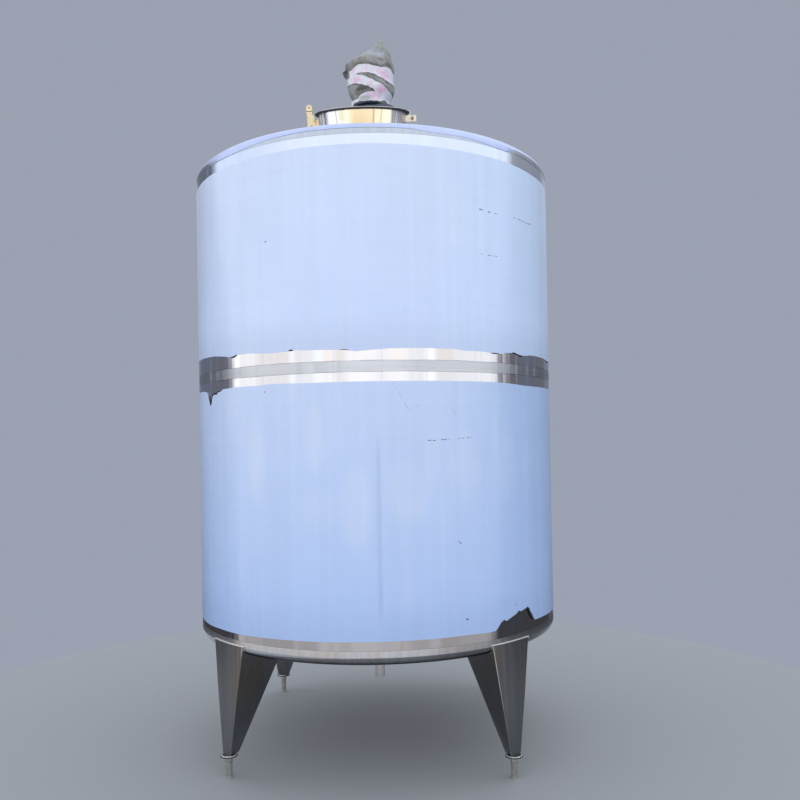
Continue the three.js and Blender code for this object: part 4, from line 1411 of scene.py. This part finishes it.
def add_scratches():
    """Thin dark slivers along the scratches, broken and of uneven width."""
    radius = SHELL_RADIUS + FILM_GAP + FILM_THICKNESS
    corners, faces = [], []
    depth = 0.0002

    def add_sliver(line):
        if len(line) < 2:
            return
        start = len(corners)
        for degrees, height, half in line:
            for out, up in ((depth, half), (depth, -half), (-depth, -half), (-depth, half)):
                corners.append(round_point(radius + out, degrees, height + up))
        faces.extend(grid_faces(len(line), 4, start))
        end = start + (len(line) - 1) * 4
        faces.append((start, start + 3, start + 2, start + 1))
        faces.append((end, end + 1, end + 2, end + 3))

    for number, (points, half, cut) in enumerate(SCRATCHES):
        run = []
        least = 0.62 - cut * 0.4
        for degrees, height in filled(points, 14)[:-1]:
            press = 0.5 + noise.noise((degrees * 2.3, height * 31, number * 7.1))
            if press > least:
                width = half * min(1.0, 0.45 + 1.8 * (press - least))
                wander = 0.0012 * noise.noise((degrees * 5, height * 90, number))
                run.append((degrees, height + wander, width))
            else:
                add_sliver(run)
                run = []
        add_sliver(run)
    for degrees, height, size in SPOTS:
        spread = math.degrees(size / radius) / 2
        widths = zip((-1, 0, 1, 2), (0.25, 0.9, 1.0, 0.5))
        add_sliver([(degrees + spread * k, height, size / 2 * width) for k, width in widths])
    settle(add_piece("film_scratches", corners, faces, "scratch", 20), "tank", "film")


def add_curls():
    """Film rolled back along its tears."""
    sides = 8
    for number, points in enumerate(CURLS):
        line = filled(points, 6)
        corners = []
        for degrees, height, size in line:
            size *= 1 + 0.35 * noise.noise((degrees * 6, height * 60, number))
            for k in range(sides):
                angle = 2 * math.pi * k / sides
                out = SHELL_RADIUS + FILM_THICKNESS + size * 0.45 * (1 + math.cos(angle))
                aside = math.degrees(0.3 * size / out) * math.sin(angle)
                corners.append(round_point(out, degrees + aside, height + size * math.sin(angle)))
        faces = grid_faces(len(line), sides)
        faces.append(tuple(range(sides)))
        faces.append(tuple((len(line) - 1) * sides + k for k in range(sides)))
        settle(add_piece(f"film_curl_{number + 1}", corners, faces, "film_back", 50), "tank", "film")


# Legs and feet


def leg_size(pair, height):
    """A leg's width or the place of its face at a height."""
    share = (height - LEG_FOOT) / (LEG_TOP - LEG_FOOT)
    return pair[0] + (pair[1] - pair[0]) * share


def leg_seam(side):
    """Where a leg's flank meets the bottom, from its outer fold to its ridge, for a front leg."""
    points = []
    for i in range(25):
        share = i / 24
        height = LEG_TOP
        for _ in range(12):
            half = leg_size(LEG_WIDTH, height) / 2
            ridge = LEG_RIDGE_FOOT - LEG_RIDGE_SLANT * (height - LEG_FOOT)
            across = half * (1 - share)
            out = leg_size(LEG_FACE, height) * (1 - share) + ridge * share
            height = min(LEG_TOP, head_height(BOTTOM, math.hypot(across, out)))
        points.append(Vector((side * across, -out, height)))
    return points


def add_legs():
    """Legs with a weld along the bottom and a welded fold on one side."""
    sizes = tank_sizes()
    left, right = leg_seam(-1), leg_seam(1)
    for number, (place, degrees) in enumerate(CORNERS.items()):
        name, node = f"leg_sheet_{place}", f"leg_{place}"
        softened(node, name, "leg_steel", sizes.fold_radius, "tank", "brushed_steel", 3)
        turn = Matrix.Rotation(math.radians(degrees), 4, "Z")
        half = math.degrees(LEG_WIDTH[1] / 2 / SHELL_RADIUS)
        out, level = SHELL_RADIUS + 0.0035, LEG_TOP + 0.001
        top = [round_point(out, half * (i / 20 - 1), level) for i in range(41)]
        points = [turn @ point for point in left[::-1][:-1] + top + right[1:]]
        bead = add_bead(f"leg_weld_{place}", points, sizes.bead_radius * 0.8, False, 0.3, number)
        settle(bead, "tank", "weld")
        side = 1 if place in ("front_left", "back_right") else -1
        points = []
        for i in range(41):
            height = LEG_TOP - 0.004 - (LEG_TOP - LEG_FOOT - 0.02) * i / 40
            half = leg_size(LEG_WIDTH, height) / 2 - 0.0012
            points.append(turn @ Vector((side * half, -leg_size(LEG_FACE, height) + 0.0012, height)))
        settle(add_bead(f"leg_fold_{place}", points, 0.0015, False, 0.5, number), "tank", "weld")


def add_feet():
    """Plates, screws, nuts and weld rings, each made once and repeated at the four corners."""
    stand = tree(corner_tree)
    nut_low, nut_high = low("foot_nut_front_left").z, high("foot_nut_front_left").z

    def repeat(name, corners, faces, finish_name, slot, *nodes):
        piece = from_nodes(name, stand, {}, finish_name, corners, (), faces, 30)
        settle(piece, "tank", slot, *[f"{node}_{place}" for node in nodes for place in CORNERS])

    def repeat_round(name, radius, edge, node):
        bottom, top = low(f"{node}_front_left").z, high(f"{node}_front_left").z
        outline = rounded([(0, bottom), (radius, bottom), (radius, top), (0, top)], edge)
        repeat(name, *skin(lambda degrees: outline, 48, False), "foot_steel", "brushed_steel", node)

    def nut(degrees):
        flat = NUT_RADIUS * math.cos(math.pi / 6) / math.cos(math.radians((degrees + 30) % 60 - 30))
        chamfer = min(flat, NUT_RADIUS * 0.93)
        edge = (flat - chamfer) * 0.58
        return [(0, nut_low), (chamfer, nut_low), (flat, nut_low + edge), (flat, nut_high - edge),
                (chamfer, nut_high), (0, nut_high)]

    repeat_round("foot_plates", PLATE_RADIUS, 0.0012, "foot_plate")
    repeat_round("foot_screws", SCREW_RADIUS, 0.002, "foot_screw")
    repeat("foot_nuts", *skin(nut, 72, False), "foot_steel", "brushed_steel", "foot_nut")
    ring = [round_point(FOOT_BEAD_RING, i * 10, LEG_FOOT) for i in range(36)]
    bead = add_bead("foot_weld_source", ring, 0.0022, True, 0.5)
    corners = [corner.co.copy() for corner in bead.data.vertices]
    faces = [tuple(face.vertices) for face in bead.data.polygons]
    bpy.data.objects.remove(bead)
    repeat("foot_welds", corners, faces, "weld_metal", "weld")


# Manhole


def neck_seam(radius):
    """Where a cylinder on the manhole's axis meets the roof."""
    matrix = manhole_matrix()
    points = []
    for i in range(180):
        turn = 2 * math.pi * i / 180
        height = 0.0
        for _ in range(8):
            point = matrix @ Vector((radius * math.sin(turn), -radius * math.cos(turn), height))
            height += head_height(ROOF, math.hypot(point.x, point.y)) - point.z
        points.append(point)
    return points


def add_manhole():
    matrix = manhole_matrix()
    sides = 144
    skirt = -NECK_SKIRT
    outline = [(NECK_BORE, skirt), (NECK_RADIUS, skirt), (NECK_RADIUS, NECK_TOP), (NECK_BORE, NECK_TOP)]
    neck = turned("manhole_wall", rounded(outline, 0.0008), "neck_steel", sides, True, matrix)
    settle(neck, "tank", "polished_steel", "manhole_neck")
    settle(add_bead("manhole_weld", neck_seam(NECK_RADIUS + 0.001), 0.0035), "tank", "weld")
    under, top = NECK_TOP + SEAT_GAP, GASKET_TOP
    outline = [(NECK_BORE, under), (GASKET_RADIUS, under), (GASKET_RADIUS, top), (NECK_BORE, top)]
    gasket = turned("gasket_ring", rounded(outline, 0.0028, 5), "rubber", sides, True, matrix)
    settle(gasket, "tank", "rubber", "manhole_gasket")
    seat = GASKET_TOP + SEAT_GAP
    dome = []
    for i in range(13):
        share = i / 12
        dome.append((LID_DOME_RADIUS * share, seat + LID_DOME_RISE * (1 - share * share)))
    raised = [(radius, height + LID_THICKNESS) for radius, height in dome]
    edge, top = 0.001, seat + LID_THICKNESS
    rim = [(LID_RADIUS - edge, seat), (LID_RADIUS, seat + edge), (LID_RADIUS, top - edge),
           (LID_RADIUS - edge, top)]
    lid = turned("lid_plate", dome + rim + raised[::-1], "satin_steel", sides, False, matrix)
    settle(lid, "lid", "brushed_steel", "manhole_lid")


def add_fittings():
    """Hinge and clamp: CAD node, name, finish, body and slot of each piece."""
    fittings = (
        ("hinge_bracket", "hinge_ears", "lug_steel", "tank", "lug_steel"),
        ("hinge_pin", "hinge_axle", "pin_steel", "tank", "brushed_steel"),
        ("hinge_strap", "hinge_arm", "satin_steel", "lid", "brushed_steel"),
        ("clamp_bracket", "clamp_ears", "lug_steel", "tank", "lug_steel"),
        ("clamp_pin", "clamp_axle", "pin_steel", "tank", "brushed_steel"),
        ("clamp_arm", "clamp_lever", "lug_steel", "clamp", "lug_steel"),
    )
    for node, name, finish_name, body, slot in fittings:
        softened(node, name, finish_name, tank_sizes().edge_radius, body, slot)


# Agitator


def add_agitator():
    count = tank_sizes().bolt_count
    sides = 96
    start = head_height(ROOF, PAD_RADIUS) + 0.001
    outline = [(0, start), (PAD_RADIUS, start), (PAD_RADIUS, PAD_TOP), (0, PAD_TOP)]
    pad = turned("mounting_pad", rounded(outline, 0.0015), "satin_steel", sides, False)
    settle(pad, "tank", "brushed_steel", "agitator_pad")
    ring = [round_point(PAD_RADIUS + 0.001, i * 3, start) for i in range(120)]
    settle(add_bead("pad_weld", ring, 0.004), "tank", "weld")
    foot, flange = low("agitator_stool").z, high("agitator_stool").x
    base, head = foot + STOOL_PLATE, STOOL_TOP - STOOL_PLATE
    outline = [(0, foot), (flange, foot), (flange, base), (STOOL_COLUMN, base), (STOOL_COLUMN, head),
               (STOOL_HEAD, head), (STOOL_HEAD, STOOL_TOP), (0, STOOL_TOP)]
    stool = turned("stool", rounded(outline, 0.0015), "satin_steel", sides, False)
    settle(stool, "tank", "brushed_steel", "agitator_stool")
    add_gearbox()
    bolts = tree(bolt_ring_tree)
    rings = {
        "pad_bolts": {"Ring": 0.100, "Level": base, "Head": 0.0095, "Depth": 0.008},
        "stool_bolts": {"Ring": 0.0915, "Level": head - 0.0105, "Head": 0.008, "Depth": 0.008},
    }
    for name, sizes in rings.items():
        piece = from_nodes(name, bolts, {"Count": count, **sizes}, "satin_steel")
        settle(piece, "tank", "brushed_steel")


def housing_ring(inset, height):
    """Points round the gearbox's long housing, a little inside its outline."""
    steps = 24
    radius = GEARBOX_RADIUS - inset
    ring = []
    for middle, start in ((0.0, 90), (GEARBOX_REACH, 270)):
        for i in range(steps + 1):
            angle = math.radians(start + 180 * i / steps)
            ring.append((middle + radius * math.cos(angle), radius * math.sin(angle), height))
    return ring


def add_gearbox():
    """The long housing with rounded edges and a parting line, and the motor's flange on it."""
    start, top = low("gearbox").z, HOUSING_TOP
    edge, seam = 0.006, (start + HOUSING_TOP) / 2
    near, groove = edge * 0.3, 0.002
    levels = [
        (edge, start), (near, start + near), (0, start + edge),
        (0, seam - groove), (groove, seam - groove / 2), (groove, seam + groove / 2), (0, seam + groove),
        (0, top - edge), (near, top - near), (edge, top),
    ]
    rings = [housing_ring(inset, height) for inset, height in levels]
    count = len(rings[0])
    corners = [point for ring in rings for point in ring]
    faces = [tuple(range(count)), tuple((len(rings) - 1) * count + i for i in range(count))]
    faces += grid_faces(len(rings), count)
    outline = [(0, top), (GEARBOX_FLANGE, top), (GEARBOX_FLANGE, GEARBOX_TOP), (0, GEARBOX_TOP)]
    flange, flange_faces = skin(lambda degrees: rounded(outline, 0.002), 72, False)
    offset = len(corners)
    faces += [tuple(offset + i for i in face) for face in flange_faces]
    piece = add_piece("gearbox_housing", corners + flange, faces, "machine_paint")
    settle(piece, "tank", "blue_paint", "gearbox")


# Bag


def smooth_between(points, value):
    """Radius and lean of the bag at a height, smooth through its outline's points."""
    last = len(points) - 1
    for i in range(last):
        if value <= points[i + 1][0] or i == last - 1:
            p0, p1 = points[max(i - 1, 0)], points[i]
            p2, p3 = points[i + 1], points[min(i + 2, last)]
            share = min(1.0, max(0.0, (value - p1[0]) / (p2[0] - p1[0])))
            s2, s3 = share * share, share ** 3
            result = []
            for k in (1, 2):
                m1 = (p2[k] - p0[k]) / max(p2[0] - p0[0], 1e-9) * (p2[0] - p1[0])
                m2 = (p3[k] - p1[k]) / max(p3[0] - p1[0], 1e-9) * (p2[0] - p1[0])
                first = (2 * s3 - 3 * s2 + 1) * p1[k] + (s3 - 2 * s2 + share) * m1
                result.append(first + (3 * s2 - 2 * s3) * p2[k] + (s3 - s2) * m2)
            return result
    return points[last][1:]


def tape_at(along):
    """Middle height and half width of the tape at an angle along its way."""
    for (start, *first), (end, *second) in zip(TAPE_PATH, TAPE_PATH[1:]):
        if along < end:
            break
    share = step(along, start, end)
    return [a + (b - a) * share for a, b in zip(first, second)]


def tape_passes(degrees):
    """Middle height and half width of each pass of the tape at an angle round the bag."""
    turns = [degrees + 360 * turn for turn in range(3)]
    return [tape_at(along) for along in turns if TAPE_PATH[0][0] <= along < TAPE_PATH[-1][0]]


def patch_share(degrees, height, patch):
    """1 on a patch of the bag, down to 0 past its soft left, right, lower and upper limits."""
    left, right, bottom, top = patch
    across = step(degrees, *left) * step(degrees, *right)
    return across * (step(height, *bottom) * step(height, *top))


def bag_surface(degrees, height, flap=True):
    """Radius, lean and how much painted crease shade the bag's outside takes at an angle and a height. Under
    the tape it has no flap on its left side."""
    sizes = tank_sizes()
    radius, lean = smooth_between(BAG_OUTLINE, height)
    turn = math.radians(degrees)
    round_x, round_y = math.cos(turn), math.sin(turn)
    upward = step(height, *PLEATED)
    twist = turn + PLEAT_TWIST * (height - PLEAT_START)
    wave = math.cos(sizes.pleats * twist + 1.4 * math.sin(2 * turn) + 0.8 * math.sin(3 * turn))
    fold = -sizes.pleat_depth * radius * upward * (0.5 - 0.5 * wave)
    gather = step(height, *HEM)
    hem_wave = 0.5 + 0.5 * math.cos(17 * turn + 2.3 * math.sin(3 * turn))
    fold -= 0.004 * gather * hem_wave
    slack = noise.noise((round_x * 2.2, round_y * 2.2, height * 14))
    slack += 0.5 * noise.noise((round_x * 5, round_y * 5, height * 30 + 7))
    wrinkle = noise.noise((round_x * 7, round_y * 7, height * 22 + turn * 2 + 3))
    middle = step(height, *SLACK[0]) * (1 - step(height, *SLACK[1]))
    fold += (0.006 * min(slack, 0.3) - 0.003 * abs(wrinkle)) * middle
    # Painted shade in the hollows of the slack cloth
    crease = 0.3 * max(0.0, -slack) * middle
    tied = 0.0
    for level, half in tape_passes((degrees + 66) % 360 - 66):
        off = height - level
        tied = max(tied, math.exp(-((off / (half * 1.2)) ** 4)))
        # Painted shade along the tape's edges
        lip = math.exp(-(((abs(off) - half * 1.25) / 0.006) ** 2))
        crease = max(crease, 0.75 * lip * (0.55 + 0.45 * wrinkle))
    fold -= 0.0035 * tied * middle
    if flap:
        hang = patch_share(degrees, height, FLAP)
        shade = patch_share(degrees, height, FLAP_SHADE)
        knot_turn, knot_height, across, up = KNOT
        knot = math.exp(-(((degrees - knot_turn) / across) ** 2) - ((height - knot_height) / up) ** 4)
        fold += 0.008 * hang * (1 + 0.4 * wrinkle) + 0.023 * knot
        # Painted shade round the flap, and the knot painted dark as shade
        crease = max(crease, 0.6 * shade * (0.75 + 0.5 * wrinkle))
        crease = max(crease, 0.85 * min(1.0, knot * 1.6) * (0.8 + 0.5 * wrinkle))
    # Painted shade in the pleats near the tip and in the hem's gathers
    pleat = 0.22 * upward * (0.5 - 0.5 * wave) ** 3 * step(height, *TIP_PLAIN)
    crease = max(crease, pleat, 0.5 * gather * hem_wave)
    return max(radius + fold, 0.0), lean, min(1.0, crease)


def add_bag():
    """The bag: rows of corners from its hem to its tip, with its weave's UV and its creases, given
    the cloth's thickness."""
    columns, rows = 288, 150
    bottom, top = BAG_OUTLINE[0][0], BAG_OUTLINE[-1][0]
    heights = [bottom + (top - bottom) * (1 - (1 - k / rows) ** 1.35) for k in range(rows + 1)]
    corners, creases, uv = [], [], []
    for k, height in enumerate(heights):
        for i in range(columns):
            degrees = -180 + 360 * i / columns
            radius, lean, crease = bag_surface(degrees, height)
            if k == rows:
                radius = BAG_TIP
            point = round_point(radius, degrees, height)
            corners.append(point + Vector((lean, 0, 0)))
            creases.append(crease)
    for k in range(rows):
        for i in range(columns):
            for u, v in ((i, k), (i + 1, k), (i + 1, k + 1), (i, k + 1)):
                uv.append((BAG_GIRTH * u / columns, heights[v]))
    faces = grid_faces(rows + 1, columns)
    tip = [rows * columns + i for i in range(columns)]
    faces.append(tuple(tip))
    uv.extend((0.0, top) for _ in tip)
    mesh = bpy.data.meshes.new("tied_bag")
    mesh.from_pydata([tuple(corner) for corner in corners], [], faces)
    layer = mesh.uv_layers.new(name="weave")
    for loop, place in zip(layer.data, uv):
        loop.uv = place
    # The crease layer holds the painted crease shade
    painted_light = mesh.attributes.new("crease", "FLOAT", "POINT")
    painted_light.data.foreach_set("value", creases)
    bag = add_object("tied_bag", mesh, "bag_cloth")
    wall = bag.modifiers.new("wall", "SOLIDIFY")
    wall.thickness = BAG_CLOTH
    wall.offset = -1
    solid = apply_modifiers(bag)
    solid.shade_smooth()
    solid.set_sharp_from_angle(angle=math.radians(60))
    settle(bag, "tank", "bag_cloth", "motor_cover")
    tape_piece = add_tape()


def add_tape():
    """One long tape that is wound over itself, pulled a little narrower in places."""
    rows, pace = 9, 1.5
    start, end = TAPE_PATH[0][0], TAPE_PATH[-1][0]
    count = int((end - start) / pace)
    corners = []
    for i in range(count + 1):
        degrees = start + (end - start) * i / count
        level, half = tape_at(degrees)
        level += 0.0012 * noise.noise((degrees * 0.11, 0, 4))
        half *= 1 + 0.10 * noise.noise((degrees * 0.06, 0, 9))
        lift = TAPE_LIFT * (1 + (degrees - start) / 360) * (1 - 0.6 * step(degrees, 744, 766))
        front = []
        for k in range(rows):
            height = level + half * (2 * k / (rows - 1) - 1)
            radius, lean, _ = bag_surface((degrees + 180) % 360 - 180, height, False)
            crinkle = 0.0007 * noise.noise((degrees * 0.13, height * 160, 2))
            front.append((radius + lift + crinkle, height, lean))
        back = [(radius - TAPE_THICKNESS, height, lean) for radius, height, lean in reversed(front)]
        for radius, height, lean in front + back:
            corners.append(round_point(radius, degrees, height) + Vector((lean, 0, 0)))
    ring = rows * 2
    faces = grid_faces(count + 1, ring)
    faces.append(tuple(range(ring)))
    faces.append(tuple(count * ring + k for k in range(ring)))
    return settle(add_piece("tape", corners, faces, "tape", 50), "tank", "bag_cloth")


# Stage


def add_floor():
    sides = 180
    corners = [round_point(FLOOR_RADIUS, 360 * i / sides, 0) for i in range(sides)]
    add_piece("floor", corners, [tuple(range(sides))], "floor")


def add_light():
    """Soft light from all round: bright in front, dim at the sides, a plain backdrop behind."""
    colours = tank_colours()
    world = bpy.data.worlds.new("soft_light")
    world.use_nodes = True
    world.node_tree.nodes.clear()
    bpy.context.scene.world = world
    light = Graph(world.node_tree)
    direction = light.node("ShaderNodeTexCoord", output="Generated")
    x = light.node("ShaderNodeSeparateXYZ", None, {"Vector": direction})
    y, z = x.out("Y"), x.out("Z")
    around = abs(light.degrees(x, y))
    level = light.stripe(z, 0.02, 0.17, 0.04)
    turn = around + light.clamp(0.0 - z) * light.clamp(x) * 70 - light.clamp(z - 0.1) * (53 - x * 27)
    turn = turn + light.clamp(x) * level * 8
    beside = light.between(turn, *SIDE_LIGHT)
    behind = light.between(around, *BACK_LIGHT)
    corner = behind * light.between(around, *CORNER_LIGHT)
    above = light.between(z + x * 0.05, 0.15, 0.75)
    seen = light.node("ShaderNodeLightPath", output="Is Camera Ray")
    layers = (
        (light.between(z, 0.05, 0.3), colours.sky),
        (light.between(x, 0.3, 0.95) * light.between(z, 0.05, 0.35), colours.sky_right),
        (light.between(z, -0.13, -0.19), colours.sky_under),
        (beside, colours.dim),
        (beside * level, colours.dim_level),
        (beside * light.between(z, -0.04, -0.17), colours.dim_low),
        (behind, colours.backdrop),
        (corner * light.between(z, 0.20, 0.05), colours.corner),
        (corner * light.between(z, -0.05, -0.20), colours.corner_low),
        (above, colours.sky),
        (seen, colours.backdrop),
    )
    tone = colours.sky_low
    for share, colour in layers:
        tone = light.mix(tone, colour, share)
    bright = SKY_STRENGTH - SKY_TILT * x + light.clamp(x) * light.clamp(z) * SKY_UPPER_RIGHT
    strength = 1 + (bright - 1) * (1 - beside * (1 - above)) * (1 - seen)
    glow = light.node("ShaderNodeBackground", None, {"Color": tone, "Strength": strength})
    light.node("ShaderNodeOutputWorld", None, {"Surface": glow})


def add_camera():
    """The camera at its place, aimed at the tank's axis and turned a little from there."""
    scene = bpy.context.scene
    camera = bpy.data.objects.new("camera", bpy.data.cameras.new("camera"))
    camera.data.lens = CAMERA_LENS
    camera.data.shift_y = CAMERA_SHIFT
    camera.data.clip_end = 200
    camera.location = CAMERA_PLACE
    ahead = Vector((-CAMERA_PLACE[0], -CAMERA_PLACE[1], 0)).normalized()
    ahead.rotate(Matrix.Rotation(CAMERA_YAW, 3, "Z"))
    side = ahead.cross(Vector((0, 0, 1)))
    ahead.rotate(Quaternion(side, CAMERA_PITCH))
    aim = ahead.to_track_quat("-Z", "Y") @ Quaternion((0, 0, 1), CAMERA_ROLL)
    camera.rotation_mode = "QUATERNION"
    camera.rotation_quaternion = aim
    scene.collection.objects.link(camera)
    scene.camera = camera


class TANK_OT_stage(Operator):
    """Set up the floor, the soft light and the camera"""

    bl_idname = "tank.stage"
    bl_label = "Stage"

    def execute(self, context):
        context.scene.view_settings.view_transform = "Standard"
        add_floor()
        add_light()
        add_camera()
        return {"FINISHED"}


class TANK_OT_shell(Operator):
    """Build the two shell courses and the girth weld"""

    bl_idname = "tank.shell"
    bl_label = "Shell"

    def execute(self, context):
        add_shell()
        return {"FINISHED"}


class TANK_OT_heads(Operator):
    """Build the roof, the bottom and the outlet"""

    bl_idname = "tank.heads"
    bl_label = "Roof and Bottom"

    def execute(self, context):
        add_heads()
        return {"FINISHED"}


class TANK_OT_film(Operator):
    """Lay the protective film with its tears, curls and scratches"""

    bl_idname = "tank.film"
    bl_label = "Protective Film"

    def execute(self, context):
        edges = LOWER_FILM_BOTTOM, LOWER_FILM_TOP
        add_film("blue_film", *edges, 1.0, "lower_film", "film", "film_lower")
        edges = UPPER_FILM_BOTTOM, UPPER_FILM_TOP
        add_film("pale_film", *edges, 8.0, "upper_film", "pale_film", "film_upper")
        add_roof_film()
        add_scratches()
        add_curls()
        return {"FINISHED"}


class TANK_OT_legs(Operator):
    """Build the four sheet legs and their welds"""

    bl_idname = "tank.legs"
    bl_label = "Legs"

    def execute(self, context):
        add_legs()
        return {"FINISHED"}


class TANK_OT_feet(Operator):
    """Build the plates, nuts and screws of the feet"""

    bl_idname = "tank.feet"
    bl_label = "Screw Feet"

    def execute(self, context):
        add_feet()
        return {"FINISHED"}


class TANK_OT_manhole(Operator):
    """Build the manhole's neck, gasket and lid"""

    bl_idname = "tank.manhole"
    bl_label = "Manhole"

    def execute(self, context):
        add_manhole()
        return {"FINISHED"}


class TANK_OT_fittings(Operator):
    """Finish the lid hinge and the swing clamp"""

    bl_idname = "tank.fittings"
    bl_label = "Hinge and Clamp"

    def execute(self, context):
        add_fittings()
        return {"FINISHED"}


class TANK_OT_agitator(Operator):
    """Build the pad, stool, gearbox and bolts of the agitator"""

    bl_idname = "tank.agitator"
    bl_label = "Agitator"

    def execute(self, context):
        add_agitator()
        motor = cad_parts["motor"]
        motor.data.materials.clear()
        motor.data.materials.append(finish("machine_paint"))
        return {"FINISHED"}


class TANK_OT_bag(Operator):
    """Build the cloth bag over the motor and the tape round it"""

    bl_idname = "tank.bag"
    bl_label = "Tied Bag"

    def execute(self, context):
        add_bag()
        return {"FINISHED"}


OPERATORS = (
    TANK_OT_stage,
    TANK_OT_shell,
    TANK_OT_heads,
    TANK_OT_film,
    TANK_OT_legs,
    TANK_OT_feet,
    TANK_OT_manhole,
    TANK_OT_fittings,
    TANK_OT_agitator,
    TANK_OT_bag,
)


class TANK_PT_pieces(Panel):
    """Lists the tank's pieces in the sidebar"""

    bl_label = "Stainless Steel Tank"
    bl_idname = "TANK_PT_pieces"
    bl_space_type = "VIEW_3D"
    bl_region_type = "UI"
    bl_category = "Tank"

    def draw(self, context):
        for operator in OPERATORS:
            self.layout.operator(operator.bl_idname)
        for group in (context.scene.tank_sizes, context.scene.tank_colours):
            box = self.layout.box()
            for name in group.__annotations__:
                box.prop(group, name)


CLASSES = (TankSizes, TankColours, *OPERATORS, TANK_PT_pieces)


def register():
    for cls in CLASSES:
        bpy.utils.register_class(cls)
    bpy.types.Scene.tank_sizes = PointerProperty(type=TankSizes)
    bpy.types.Scene.tank_colours = PointerProperty(type=TankColours)


def unregister():
    del bpy.types.Scene.tank_colours
    del bpy.types.Scene.tank_sizes
    for cls in reversed(CLASSES):
        bpy.utils.unregister_class(cls)


def main():
    register()
    for operator in OPERATORS:
        group, name = operator.bl_idname.split(".")
        getattr(getattr(bpy.ops, group), name)()


if __name__ == "__main__":
    main()
